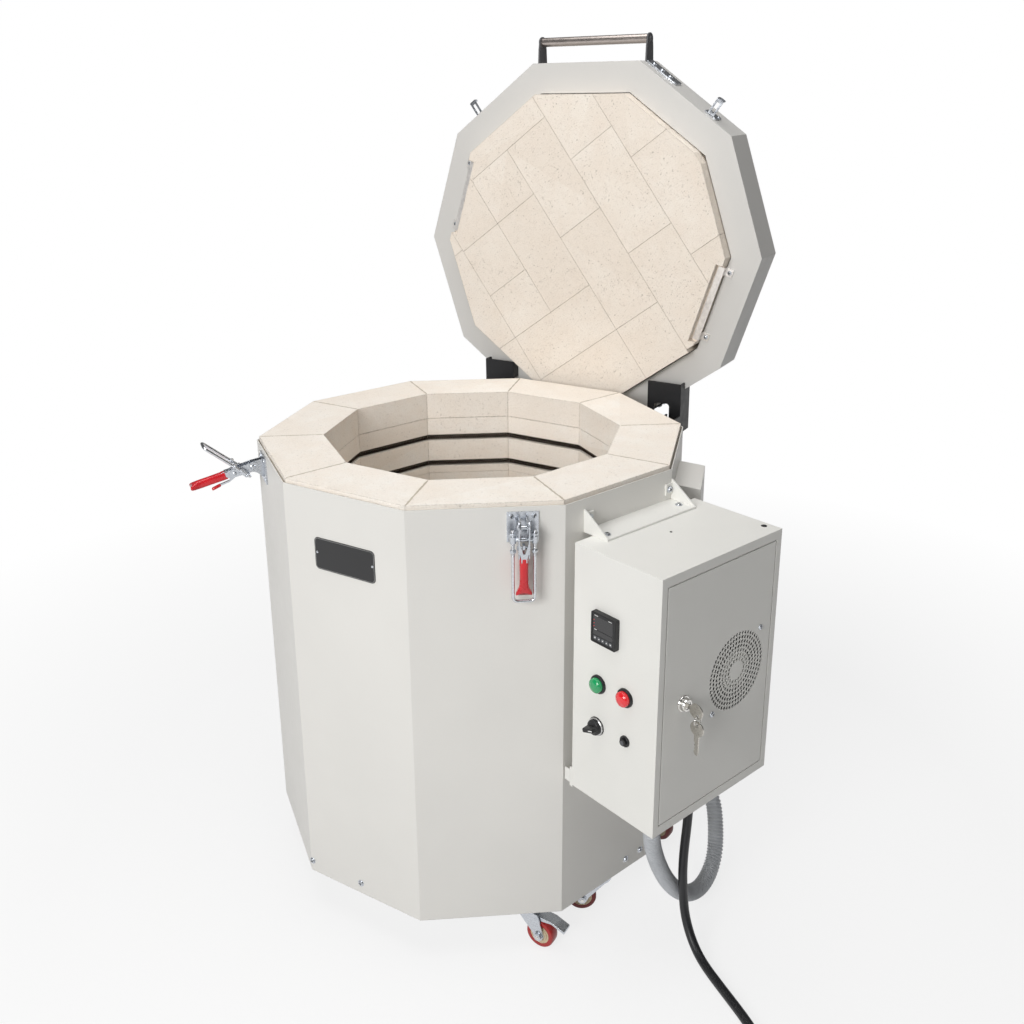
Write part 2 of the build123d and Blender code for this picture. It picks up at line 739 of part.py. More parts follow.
def push_button():
    """Domed cap and plunger; the cap stands proud of its ring by more than its travel."""
    high = BUTTON_RING_THICK + BUTTON_TRAVEL + 1.5
    plunger = barrel(BUTTON_RADIUS - 0.6, -BUTTON_DEEP + 2 + BUTTON_TRAVEL + 1, high)
    return instrument(BUTTON_AT, chamfer(plunger.edges().group_by(Axis.Z)[-1], 1.0))


# Door


def grille_places():
    """Centres of the grille holes in rings round the fan's axis, with the ring's angle for each."""
    places = []
    for ring in range(GRILLE_RINGS):
        radius = GRILLE_FIRST + GRILLE_PITCH * ring
        count = int(2 * math.pi * radius / GRILLE_PITCH)
        places += [(radius, 360.0 * i / count) for i in range(count)]
    return places


def box_door():
    """Flush sheet door with turned-in edges, a fan grille, a lock hole and two pivot pins."""
    x = (BOX_OUT - DOOR_RETURN, BOX_OUT)
    door = block(x, DOOR_T, DOOR_Z)
    inner_t = (DOOR_T[0] + SHEET, DOOR_T[1] - SHEET)
    door -= block((x[0] - 1, BOX_OUT - SHEET), inner_t, (DOOR_Z[0] + SHEET, DOOR_Z[1] - SHEET))
    plate_low, plate_high = BOX_OUT - 2 * SHEET, BOX_OUT + 1
    holes = []
    for radius, angle in grille_places():
        square = Rot(0, 0, angle) * Pos(radius, 0, 0) * RegularPolygon(GRILLE_HOLE, 4)
        holes.append(square)
    face = Pos(plate_low, FAN_SIDE_T, FAN_Z) * Rot(0, 90, 0)
    door -= face * extrude(Sketch() + holes, plate_high - plate_low)
    door -= rod((plate_low, LOCK_T, LOCK_Z), (plate_high, LOCK_T, LOCK_Z), LOCK_RADIUS)
    for z in DOOR_Z:
        pin = (z - DOOR_PIN_LONG / 2, z + DOOR_PIN_LONG / 2)
        door += rod((*DOOR_PIVOT, pin[0]), (*DOOR_PIVOT, pin[1]), DOOR_PIN_RADIUS)
    return turned(door, BOX_PANEL)


def fan_frame():
    """Square fan housing behind the grille with a motor boss on four arms."""
    back, front = -SHEET - FAN_DEEP, -SHEET
    half = FAN_SIZE / 2
    frame = block((-half, half), (-half, half), (back, front)) - barrel(FAN_BORE, back - 1, front + 1)
    for angle in (0, 90, 180, 270):
        frame += Rot(0, 0, angle + 45) * block((0, FAN_BORE + 2), (-3, 3), (back, back + 3))
    frame += barrel(FAN_HUB, back, back + 4)
    frame += barrel(SHAFT_RADIUS, back, front - 6)
    return on_door(FAN_SIDE_T, FAN_Z, frame)


def fan_rotor():
    """Hub and pitched blades that run on the motor's shaft."""
    low, high = -SHEET - FAN_DEEP + 4 + RUN_GAP, -SHEET - 2
    rotor = barrel(FAN_HUB, low, high)
    middle = (low + high) / 2
    for i in range(FAN_BLADES):
        blade = block((FAN_HUB - 2, FAN_BORE - 1.5), (-11, 11), (-0.9, 0.9))
        rotor += Rot(0, 0, 360 / FAN_BLADES * i) * Pos(0, 0, middle) * Rot(38, 0, 0) * blade
    keep = barrel(FAN_BORE - 1, low, high)
    rotor = (rotor & keep) - barrel(SHAFT_RADIUS + PIN_FIT, low - 1, -SHEET - 5)
    return on_door(FAN_SIDE_T, FAN_Z, rotor)


def door_fixings():
    """Lock barrel and the two screws that hold the fan to the door."""
    lock = barrel(LOCK_RADIUS, -LOCK_DEEP, LOCK_PROUD) + barrel(LOCK_RADIUS + 2, 0, 2)
    lock -= barrel(LOCK_PLUG + PIN_FIT, -LOCK_DEEP - 1, LOCK_PROUD + 1)
    pieces = [on_door(LOCK_T, LOCK_Z, lock)]
    for side in (1, -1):
        head = Pos(0, 0, 1.25) * extrude(RegularPolygon(4.5, 6), 1.25, both=True)
        pieces.append(on_door(FAN_SIDE_T + side * FAN_SCREW, FAN_Z + side * FAN_SCREW, head))
    return group(pieces)


def key_plate(bow_x, bow_z, hole_x, hole_z, blade):
    """A flat key in the plane across the door, its blade a box given by its limits."""
    bow = Pos(bow_x, 0, bow_z) * Rot(90, 0, 0) * extrude(RegularPolygon(KEY_BOW, 12), KEY_THICK / 2, both=True)
    hole = Pos(hole_x, 0, hole_z) * Rot(90, 0, 0) * extrude(RegularPolygon(KEY_HOLE, 8), KEY_THICK, both=True)
    return bow + block(blade[0], (-KEY_THICK / 2, KEY_THICK / 2), blade[1]) - hole


def lock_key():
    """Lock plug with its cam behind the door and the key that stands in it."""
    plug = barrel(LOCK_PLUG, -LOCK_DEEP - RUN_GAP, LOCK_PROUD)
    cam = block((-8, CAM_LONG), (-7, 7), (-LOCK_DEEP - RUN_GAP - CAM_THICK, -LOCK_DEEP - RUN_GAP))
    key = key_plate(2, LOCK_PROUD + KEY_BOW + 3, KEY_HOLE_AT[0], KEY_HOLE_AT[1], ((-4, 4), (0, LOCK_PROUD + 6)))
    return on_door(LOCK_T, LOCK_Z, plug + cam + key)


def spare_key():
    """A split ring through the key's bow and the second key that hangs from it."""
    ring_x = KEY_HOLE_AT[0] + KEY_HOLE - RING_PLAY + RING_RADIUS - RING_WIRE / 2
    section = Pos(RING_RADIUS, 0, 0) * Rectangle(RING_WIRE, RING_WIRE)
    ring = Pos(ring_x, 0, KEY_HOLE_AT[1]) * revolve(Plane.XZ * section, Axis.Z)
    hang = ring_x + RING_RADIUS + RING_WIRE / 2 + RING_PLAY - KEY_HOLE
    bow_x = hang + KEY_BOW - KEY_HOLE - 3
    key = key_plate(bow_x, KEY_HOLE_AT[1], hang, KEY_HOLE_AT[1], ((bow_x, bow_x + SPARE_LONG), KEY_SPAN))
    return on_door(LOCK_T, LOCK_Z, group([ring, key]))


# Brackets between the box and the casing


def shelf_brackets():
    """A tray with triangular ends on the box's top, and a channel low down behind the box."""
    z = BOX_TOP
    far = BOX_IN + BRACKET_REACH
    tray = block((CASE_R, far), (BRACKET_FROM, BRACKET_TO), (z, z + BRACKET_SHEET))
    ends = [(CASE_R, z), (far, z), (far, z + BRACKET_SHEET), (CASE_R, z + BRACKET_RISE)]
    gusset = extrude(Plane.XZ * make_face(Polyline(*ends, close=True)), -BRACKET_SHEET)
    tray += Pos(0, BRACKET_FROM, 0) * gusset
    tray += Pos(0, BRACKET_TO - BRACKET_SHEET, 0) * gusset
    tab_z = (z + BRACKET_RISE - BRACKET_TAB - 6, z + BRACKET_RISE - 6)
    tab_x = (CASE_R, CASE_R + BRACKET_SHEET)
    tray += block(tab_x, (BRACKET_FROM, BRACKET_FROM + BRACKET_TAB), tab_z)
    tray += block(tab_x, (BRACKET_TO - BRACKET_TAB, BRACKET_TO), tab_z)
    half = LOWER_BRACKET_WIDE / 2
    low, high = LOWER_BRACKET_Z - LOWER_BRACKET_HIGH / 2, LOWER_BRACKET_Z + LOWER_BRACKET_HIGH / 2
    channel = block((CASE_R, BOX_IN), (-half, half), (low, high))
    channel -= block((CASE_R + BRACKET_SHEET, BOX_IN - BRACKET_SHEET), (-half - 1, half + 1), (low - 1, high - BRACKET_SHEET))
    return turned(group([tray, channel]), BOX_PANEL)


def head(x, y, z):
    """A hexagon head seated on a panel's face, modelled on the +X side."""
    return rod((x, y, z), (x + HEAD_HIGH, y, z), HEAD_RADIUS, 6)


def body_screws():
    """Heads of the screws in the casing, the brackets and the terminal cover."""
    z = CASE_LIFT + BASE_SCREW_RISE
    places = [(270, -112.0), (270, -6.0), (-18, 36.0), (-18, 72.0), (162, -36.0), (162, -72.0), (90, -6.0), (90, 106.0)]
    heads = [turned(head(CASE_R, t, z), panel) for panel, t in places]
    tab_z = BOX_TOP + BRACKET_RISE - 6 - BRACKET_TAB / 2
    tab_x = CASE_R + BRACKET_SHEET
    inset = BRACKET_TAB / 2
    for t in (BRACKET_FROM + inset + 1, BRACKET_TO - inset - 1):
        heads.append(turned(head(tab_x, t, tab_z), BOX_PANEL))
    for x, t in ((BOX_IN + 15, BRACKET_FROM + 14), (BOX_IN + 7, BRACKET_TO - 14)):
        top = BOX_TOP + BRACKET_SHEET
        heads.append(turned(rod((x, t, top), (x, t, top + HEAD_HIGH), HEAD_RADIUS, 6), BOX_PANEL))
    return group(heads)


# Conduit, cable and glands


def bend_radii(points):
    """The largest arcs that the runs allow: 0.45 of the shorter run over the tangent of half the turn."""
    radii = []
    for a, b, c in zip(points, points[1:], points[2:]):
        before, after = Vector(*b) - Vector(*a), Vector(*c) - Vector(*b)
        half = math.radians(before.get_angle(after) / 2)
        radii.append(0.45 * min(before.length, after.length) / math.tan(half))
    return radii


def route_path(name, points):
    radii = bend_radii(points)
    print(name, "bend radii", [round(r) for r in radii])
    return FilletPolyline(*points, radius=radii)


def tube(path, radius):
    return sweep(Plane(origin=path @ 0, z_dir=path % 0) * Circle(radius), path=path)


def hose_section(path, distance, radius):
    """A circle across the path with its X axis kept steady against the kiln's radius."""
    along = distance / path.length
    tangent = path % along
    side = Vector(1, 0, 0).cross(tangent)
    return Plane(origin=path @ along, x_dir=side, z_dir=tangent) * Circle(radius)


def conduit():
    """Ribbed hose: plain cuffs at the ends, ribs between them and an open bore."""
    path = route_path("conduit", CONDUIT_ROUTE)
    cuff = 2 * CONDUIT_RADIUS
    pitch = (path.length - 2 * cuff) / CONDUIT_RIBS
    sections = [hose_section(path, 0, CONDUIT_RADIUS), hose_section(path, cuff - 1, CONDUIT_RADIUS)]
    for i in range(CONDUIT_RIBS):
        start = cuff + pitch * i
        for share, radius in ((0, CONDUIT_ROOT), (0.2, CONDUIT_RADIUS), (0.6, CONDUIT_RADIUS), (0.8, CONDUIT_ROOT)):
            sections.append(hose_section(path, start + pitch * share, radius))
    sections.append(hose_section(path, path.length - cuff + 1, CONDUIT_RADIUS))
    sections.append(hose_section(path, path.length, CONDUIT_RADIUS))
    starts = range(0, len(sections) - 1, LOFT_STRETCH)
    stretches = [loft(sections[i:i + LOFT_STRETCH + 1], ruled=True) for i in starts]
    hose = stretches[0].fuse(*stretches[1:])
    bore = tube(path, CONDUIT_BORE)
    return turned(hose - bore, BOX_PANEL)


def mains_cable():
    path = route_path("mains cable", CABLE_ROUTE)
    cable = tube(path, CABLE_RADIUS)
    print("mains cable volume ratio", round(cable.volume / (math.pi * CABLE_RADIUS**2 * path.length), 4))
    print("mains cable length to the coil", round(path.length))
    return cable


def coil_corners():
    """Ends and middles of the coil's half turns: in on the floor, up one layer, then out again."""
    last = Vector(*CABLE_ROUTE[-1]) - Vector(*CABLE_ROUTE[-2])
    along = last.normalized()
    across = Vector(along.Y, -along.X, 0)
    here = Vector(*CABLE_ROUTE[-1]) + along * (2 * CABLE_RADIUS)
    radii = [COIL_OUTER - COIL_PITCH / 2 * i for i in range(COIL_IN_TURNS + 1)]
    radii += [radii[-1] + COIL_PITCH / 2 * (i + 1) for i in range(COIL_OUT_TURNS)]
    halves = []
    for i, radius in enumerate(radii):
        way = 1 if i % 2 == 0 else -1
        rise = COIL_PITCH if i == COIL_IN_TURNS else 0.0
        there = here + across * (2 * radius * way) + Vector(0, 0, rise)
        centre = (here + there) * 0.5
        halves.append((here, centre + along * (way * (there - here).length / 2), there))
        here = there
    return along, halves


def coil_path():
    along, halves = coil_corners()
    start = Vector(*CABLE_ROUTE[-1])
    pieces = [Line(start, halves[0][0])]
    pieces += [ThreePointArc(*points) for points in halves]
    pieces.append(Line(halves[-1][2], halves[-1][2] + along * COIL_TAIL))
    return Wire([piece.edges()[0] for piece in pieces])


def least_gap(path, radius):
    """The least gap between stretches of one tube, measured between points along its path."""
    count = 400
    points = [path @ (i / count) for i in range(count + 1)]
    apart = math.ceil(6 * radius / path.length * count)
    gaps = [(points[i] - points[j]).length for i in range(count + 1) for j in range(i + apart, count + 1)]
    return min(gaps) - 2 * radius


def mains_coil():
    path = coil_path()
    print("coil length", round(path.length), "least gap", round(least_gap(path, CABLE_RADIUS), 2))
    return tube(path, CABLE_RADIUS)


def mains_plug():
    """An industrial plug whose collar lies on the floor, level with the coil's upper layer."""
    along, halves = coil_corners()
    start = halves[-1][2] + along * COIL_TAIL
    collar = start.Z
    body = barrel(PLUG_GRIP, 0, PLUG_LONG / 2) + barrel(collar, PLUG_LONG / 2, PLUG_LONG)
    body -= barrel(collar - 3, PLUG_LONG * 0.62, PLUG_LONG + 1)
    for angle in (90, 210, 330):
        body += Rot(0, 0, angle) * Pos(11, 0, 0) * barrel(2.5, PLUG_LONG * 0.6, PLUG_LONG - 4)
    return Plane(origin=start, x_dir=(0, 0, 1), z_dir=along) * body


def gland(x, y, top, low, radius):
    """A hexagon gland and its cap, hanging from a plate down to where the hose or cable starts."""
    body = outline([(x + 1.25 * radius * math.cos(a), y + 1.25 * radius * math.sin(a)) for a in HEX_TURNS], top - 12, top)
    return body + Pos(x, y, low) * barrel(radius, 0, top - low - 11)


def glands():
    conduit_start, conduit_end, cable_start = CONDUIT_ROUTE[0], CONDUIT_ROUTE[-1], CABLE_ROUTE[0]
    cover_low = RIM_Z - COVER_TOP_DROP - COVER_HEIGHT
    top = turned(gland(conduit_start[0], conduit_start[1], BOX_LOW, conduit_start[2], CONDUIT_RADIUS + 2), BOX_PANEL)
    end = turned(gland(conduit_end[0], conduit_end[1], cover_low, conduit_end[2], CONDUIT_RADIUS + 2), BOX_PANEL)
    cable = gland(cable_start[0], cable_start[1], BOX_LOW, cable_start[2], CABLE_RADIUS + 4)
    return group([top, end, cable])


# Lid


def lid_shell():
    shell = prism(LID_R, LID_LOW, LID_TOP) - prism(LID_R - SHEET, LID_LOW + SHEET, LID_TOP - SHEET)
    shell -= prism(PLUG_TO_AXIS + PLUG_GAP, LID_LOW - 1, LID_LOW + 2 * SHEET)
    return opened(shell)


def lid_board():
    """Fibre board over and round the lid's bricks."""
    board = prism(LID_R - SHEET - BOARD_GAP, LID_LOW + SHEET + BOARD_GAP, LID_TOP - SHEET - BOARD_GAP)
    return opened(board - prism(PLUG_TO_AXIS + PLUG_GAP, LID_LOW, LID_FACE + LID_BRICK + BOARD_GAP))


def retainer_notch():
    """Recess in the edge of the lid's bricks where a retainer bar lies."""
    far = PLUG_TO_AXIS + PLUG_GAP
    z = (LID_FACE - 1, LID_FACE + NOTCH_HIGH)
    return block((PLUG_TO_AXIS - NOTCH_DEEP, far), (-RETAINER_HALF - 4, RETAINER_HALF + 4), z)


def lid_bricks():
    """Bricks laid in running bond at an angle, cut to the ten-sided plug."""
    plug = prism(PLUG_TO_AXIS, LID_FACE, LID_FACE + LID_BRICK)
    for panel in RETAINER_PANELS:
        plug -= turned(retainer_notch(), panel)
    bricks = []
    for u0, u1, v0, v1 in LID_BRICKS:
        u = (LID_SHIFT_U + u0 * LID_MODULE, LID_SHIFT_U + u1 * LID_MODULE - BRICK_JOINT)
        v = (LID_SHIFT_V + v0 * LID_MODULE, LID_SHIFT_V + v1 * LID_MODULE - BRICK_JOINT)
        brick = turned(block(u, v, (LID_FACE - 1, LID_FACE + LID_BRICK + 1)), LID_LAY) & plug
        bricks.append(opened(brick))
    return group(bricks)


def brick_retainers():
    """Two bars across the notches, each with a step up to a tab under the lid's flange."""
    sheet = RETAINER_SHEET
    ledge = LID_FACE + NOTCH_HIGH
    bars = []
    for panel in RETAINER_PANELS:
        near = PLUG_TO_AXIS - NOTCH_DEEP + 3
        wall = (PLUG_TO_AXIS + 0.3, PLUG_TO_AXIS + 0.3 + sheet)
        bar = block((near, wall[1]), (-RETAINER_HALF, RETAINER_HALF), (ledge - sheet, ledge))
        for side in (-1, 1):
            t = sorted((side * RETAINER_HALF, side * (RETAINER_HALF - RETAINER_TAB)))
            bar += block(wall, t, (ledge - sheet, LID_LOW))
            bar += block((wall[0], wall[0] + RETAINER_TAB), t, (LID_LOW - sheet, LID_LOW))
        bars.append(opened(turned(bar, panel)))
    return group(bars)


def lid_screws():
    """Heads on the retainer tabs and on the handle's flanges."""
    heads = []
    x = PLUG_TO_AXIS + 0.3 + RETAINER_TAB * 0.6
    top = LID_LOW - RETAINER_SHEET
    for panel in RETAINER_PANELS:
        for side in (-1, 1):
            t = side * (RETAINER_HALF - RETAINER_TAB / 2)
            heads.append(turned(rod((x, t, top - HEAD_HIGH), (x, t, top), HEAD_RADIUS, 6), panel))
    z = LID_LOW + HANDLE_RISE
    for i in range(3):
        t = -LID_R * SLOPE + 14 + 20 * i
        heads.append(turned(head(LID_R + HANDLE_SHEET, t, z), RIGHT_PANEL))
        heads.append(turned(head(LID_R + HANDLE_SHEET, -t, z), LEFT_PANEL))
    return opened(group(heads))


def handle_ear(side):
    """Flat ear in front of one front corner, with a flange back along the lid's side."""
    corner = LID_R * SLOPE
    z = (LID_LOW + HANDLE_RISE - HANDLE_HIGH / 2, LID_LOW + HANDLE_RISE + HANDLE_HIGH / 2)
    x = (corner, corner + HANDLE_SHEET)
    ear = block(x, (-HANDLE_TO_AXIS - 10, -LID_R + 2), z)
    keep_out = prism(LID_R, z[0] - 1, z[1] + 1)
    flange = block((LID_R, LID_R + HANDLE_SHEET), (-corner, -corner + HANDLE_FLANGE), z)
    shape = (ear - keep_out) + turned(flange, RIGHT_PANEL)
    return shape if side > 0 else mirrored(shape)


def handle_brackets():
    return opened(group([handle_ear(1), handle_ear(-1)]))


def handle_tube():
    reach = LID_R * SLOPE
    z = LID_LOW + HANDLE_RISE
    return opened(rod((-reach, -HANDLE_TO_AXIS, z), (reach, -HANDLE_TO_AXIS, z), HANDLE_RADIUS))


def keepers():
    """Hooks low on the lid's side that the clamp loops pull on."""
    low = RIM_Z + BOLT_REACH - PIVOT_DROP - BAR_DROP - 2 * BOLT_WIRE - KEEPER_SHEET - KEEPER_SLACK
    reach = CASE_R + PIVOT_OUT + BOLT_WIRE + 1.5
    hook = block((LID_R, LID_R + KEEPER_SHEET), (-KEEPER_WIDE, KEEPER_WIDE), (low, low + 2 * KEEPER_RISE))
    half = KEEPER_WIDE / 2
    hook += block((LID_R, reach + KEEPER_SHEET), (-half, half), (low, low + KEEPER_SHEET))
    hook += block((reach, reach + KEEPER_SHEET), (-half, half), (low, low + KEEPER_RISE))
    right = turned(Pos(0, CLAMP_SIDE, 0) * hook, RIGHT_PANEL)
    left = turned(Pos(0, -CLAMP_SIDE, 0) * hook, LEFT_PANEL)
    return opened(group([right, left]))


# Lid hinges


def lid_hinge():
    """The lid's half of the right hinge: windowed web, outer flange, arms and a tab on the lid."""
    low = RIM_TOP + WEB_CLEAR
    z = (low, low + HINGE_SHEET)
    y = (WEB_BACK - WEB_DEEP, WEB_BACK)
    web = block((HINGE_IN, HINGE_OUT), y, z)
    window = ((HINGE_IN + 14, HINGE_OUT - 24), (y[0] + 42, y[1] - 14))
    cut = fillet(block(*window, (z[0] - 1, z[1] + 1)).edges().filter_by(Axis.Z), 6)
    web = fillet((web - cut).edges().filter_by(Axis.Z).group_by(Axis.Y)[-1], 8)
    flange = block((HINGE_OUT - HINGE_SHEET, HINGE_OUT), (LID_EDGE_AT_HINGE, WEB_BACK), (z[0], LID_LOW + 26))
    tab = block((LID_R, LID_R + HINGE_SHEET), (-10, 62), (LID_LOW - 8, LID_LOW + 44))
    bridge = block((HINGE_IN, HINGE_OUT), (y[0] + 6, y[0] + 34), (z[0], LID_LOW))
    shape = web + flange + bridge + turned(tab, STEP * 1.5)
    for x in ARM_X:
        arm = [(HINGE_Y - 14, HINGE_Z - 8), (HINGE_Y + 12, HINGE_Z - 8), (HINGE_Y + 18, z[0] + 1), (HINGE_Y - 14, z[0] + 1)]
        shape += side_plate(arm, x, x + HINGE_SHEET)
    shape -= rod((HINGE_IN, HINGE_Y, HINGE_Z), (HINGE_OUT + 9, HINGE_Y, HINGE_Z), PIN_RADIUS + PIN_FIT)
    shape -= prism(LID_R, LID_LOW, LID_TOP)
    return shape


def lid_hinges():
    right = lid_hinge()
    return opened(group([right, mirrored(right)]))


def hinge_ears():
    """Two ears and a backing plate on each slanted rear panel, with the hinge pin through them."""
    profile = [(HINGE_Y - 75, HINGE_Z - 36), (HINGE_Y - 20, HINGE_Z - 36), (HINGE_Y + 11, HINGE_Z - 9)]
    profile += [(HINGE_Y + 11, HINGE_Z + 9), (HINGE_Y - 4, HINGE_Z + 15), (HINGE_Y - 75, HINGE_Z + 15)]
    shape = rod((ARM_X[0] - 4, HINGE_Y, HINGE_Z), (ARM_X[1] + HINGE_SHEET + 4, HINGE_Y, HINGE_Z), PIN_RADIUS)
    for x in EAR_X:
        shape += side_plate(profile, x, x + EAR_SHEET)
    back = block((CASE_R, CASE_R + EAR_SHEET), (-64, 12), (HINGE_Z - 40, HINGE_Z + 20))
    shape = (shape + turned(back, STEP * 1.5)) - prism(CASE_R, CASE_LIFT, RIM_Z)
    return group([shape, mirrored(shape)])


# Toggle clamps


def at_clamp(shape, side):
    """Put a clamp piece, modelled on the +X side at its own middle, on the right or left panel."""
    if side == "right":
        return turned(Pos(0, CLAMP_SIDE, 0) * shape, RIGHT_PANEL)
    return turned(Pos(0, -CLAMP_SIDE, 0) * shape, LEFT_PANEL)


def swung(shape, x, z, angle):
    """Swing a clamp piece outward about an axis along the panel."""
    return Pos(x, 0, z) * Rot(0, -angle, 0) * Pos(-x, 0, -z) * shape


def clamp_base():
    """Plate on the casing with two ears and the lever's pin."""
    face = CASE_R + CLAMP_PLATE_THICK
    half = CLAMP_PLATE / 2
    middle = RIM_Z - CLAMP_DROP
    base = block((CASE_R, face), (-half, half), (middle - half, middle + half))
    ear = [(face - 1, PIVOT_Z - 22), (face - 1, PIVOT_Z + 12), (PIVOT_X + 3, PIVOT_Z + 8), (PIVOT_X + 7, PIVOT_Z)]
    ear += [(PIVOT_X + 3, PIVOT_Z - 8), (PIVOT_X - 6, PIVOT_Z - 11)]
    plate = extrude(Plane.XZ * make_face(Polyline(*ear, close=True)), -CLAMP_SHEET)
    for y in (EAR_HALF_GAP, -EAR_HALF_GAP - CLAMP_SHEET):
        base += Pos(0, y, 0) * plate
    reach = LEVER_HALF + CLAMP_SHEET + 1.5
    return base + rod((PIVOT_X, -reach, PIVOT_Z), (PIVOT_X, reach, PIVOT_Z), PIVOT_RADIUS)


def clamp_bases():
    return group([at_clamp(clamp_base(), side) for side in ("right", "left")])


def clamp_lever():
    """Two cheeks on the pin that join into a tang with a red grip flared at its end."""
    x, z = PIVOT_X, PIVOT_Z
    cheek = [(x - 7, z + 6), (x - 3, z + 9), (x + 4, z + 9), (x + 8, z + 4), (x + 7, z - 40), (x - 5, z - 40), (x - 7, z - 22)]
    plate = extrude(Plane.XZ * make_face(Polyline(*cheek, close=True)), -CLAMP_SHEET)
    lever = Pos(0, LEVER_HALF, 0) * plate + Pos(0, -LEVER_HALF - CLAMP_SHEET, 0) * plate
    reach = LEVER_HALF + CLAMP_SHEET
    lever += block((x + 5, x + 7), (-reach, reach), (z - 46, z - 26))
    lever += block((x + 2.5, x + 7), (-4, 4), (z - GRIP_START - 6, z - 38))
    end = z - GRIP_END
    grip = rod((x, 0, z - GRIP_START), (x, 0, end + 14), GRIP_RADIUS, 12)
    flare = [(-GRIP_RADIUS + 1, 15), (GRIP_RADIUS - 1, 15), (FLARE_HALF, 3), (FLARE_HALF - 3, 0), (0, 4), (3 - FLARE_HALF, 0), (-FLARE_HALF, 3)]
    tail = extrude(Plane.YZ * make_face(Polyline(*flare, close=True)), 5, both=True)
    lever += grip + Pos(x, 0, end) * tail
    bar_way = rod((x, -BAR_HALF, z - BAR_DROP), (x, BAR_HALF, z - BAR_DROP), BAR_RADIUS + PIN_FIT)
    pin_way = rod((x, -BAR_HALF, z), (x, BAR_HALF, z), PIVOT_RADIUS + PIN_FIT)
    trigger_way = rod((x, -BAR_HALF, z - TRIGGER_S), (x, BAR_HALF, z - TRIGGER_S), TRIGGER_PIN + PIN_FIT)
    return lever - bar_way - pin_way - trigger_way


def clamp_bolt(reach):
    """Cross bar and the loop of round wire that it carries, with a nut on each leg."""
    x, z = PIVOT_X, PIVOT_Z - BAR_DROP
    bolt = rod((x, -BAR_HALF, z), (x, BAR_HALF, z), BAR_RADIUS)
    end = z - reach + BOLT_WIRE
    for side in (-1, 1):
        y = side * BOLT_HALF
        bolt += rod((x, y, z + BOLT_TOP), (x, y, end + BOLT_CORNER), BOLT_WIRE, 8)
        bolt += rod((x, y, end + BOLT_CORNER), (x, y - side * BOLT_CORNER, end), BOLT_WIRE, 8)
        for nut_z in (z + 6, z - BOLT_TAIL):
            bolt += rod((x, y, nut_z), (x, y, nut_z + 4), 2 * BOLT_WIRE, 6)
    inner = BOLT_HALF - BOLT_CORNER
    bolt += rod((x, -inner, end), (x, inner, end), BOLT_WIRE, 8)
    for side in (-1, 1):
        bolt += Pos(x, side * BOLT_HALF, end + BOLT_CORNER) * Sphere(BOLT_WIRE * 0.9)
    return bolt


def clamp_trigger():
    """Release trigger between the cheeks, with its tip under the grip."""
    x, z = PIVOT_X, PIVOT_Z - TRIGGER_S
    plate = [(x - 7, z + 4), (x + 2, z + 4), (x + 2, z - 3), (x - 10.5, z - 11)]
    plate += [(x - 12, z - 30), (x - 15, z - 30), (x - 13.5, z - 12)]
    trigger = extrude(Plane.XZ * make_face(Polyline(*plate, close=True)), 1.5, both=True)
    trigger += rod((x, -TRIGGER_PIN_HALF, z), (x, TRIGGER_PIN_HALF, z), TRIGGER_PIN)
    return trigger + rod((x - 13.5, 0, z - 27), (x - 16, 0, z - 42), TIP_RADIUS, 8)


def right_clamp(shape):
    return at_clamp(shape, "right")


def left_clamp(shape):
    """The left clamp stands open, its lever swung out."""
    return at_clamp(swung(shape, PIVOT_X, PIVOT_Z, LEFT_LEVER_OPEN), "left")


def left_bolt():
    turn = LEFT_BOLT_TURN - LEFT_LEVER_OPEN
    return left_clamp(swung(clamp_bolt(BOLT_REACH_LEFT), PIVOT_X, PIVOT_Z - BAR_DROP, turn))


# Castors


def castor_stems():
    """Bearing cups under the base plate with their stems through it."""
    stems = []
    for x, y in swivel_places():
        cup = barrel(CUP_RADIUS, CASE_LIFT - CUP_HIGH, CASE_LIFT)
        stems.append(Pos(x, y, 0) * (cup + barrel(STEM_RADIUS - PIN_FIT, CASE_LIFT - 1, CASE_LIFT + STEM_HIGH)))
    return group(stems)


def placed(index, shape):
    """Put a castor piece, trailing along +X, at its swivel and direction."""
    azimuth, distance, trail, _ = CASTORS[index]
    angle = math.radians(azimuth)
    return Pos(distance * math.cos(angle), distance * math.sin(angle), 0) * Rot(0, 0, trail) * shape


def fork(braked):
    """Crown and two cheeks folded down to the axle, drilled for a pedal where there is one."""
    inner = WHEEL_WIDE / 2 + FORK_CLEAR
    low = CROWN_TOP - CROWN_HIGH
    body = barrel(CUP_RADIUS, low, CROWN_TOP) + block((-16, 24), (-inner - FORK_SHEET, inner + FORK_SHEET), (low - 2, low + 2))
    cheek = [(-18, low + 2), (26, low + 2), (TRAIL + 8, AXLE_Z + 8), (TRAIL + 6, AXLE_Z - 7), (TRAIL - 6, AXLE_Z - 7), (TRAIL - 12, AXLE_Z + 4)]
    plate = extrude(Plane.XZ * make_face(Polyline(*cheek, close=True)), -FORK_SHEET)
    body += Pos(0, inner, 0) * plate
    body += Pos(0, -inner - FORK_SHEET, 0) * plate
    reach = inner + FORK_SHEET + 3
    body += rod((TRAIL, -reach, AXLE_Z), (TRAIL, reach, AXLE_Z), AXLE_RADIUS)
    if braked:
        x, z = PEDAL_PIVOT
        body -= rod((x, -reach, z), (x, reach, z), PEDAL_PIN + PIN_FIT)
    return body


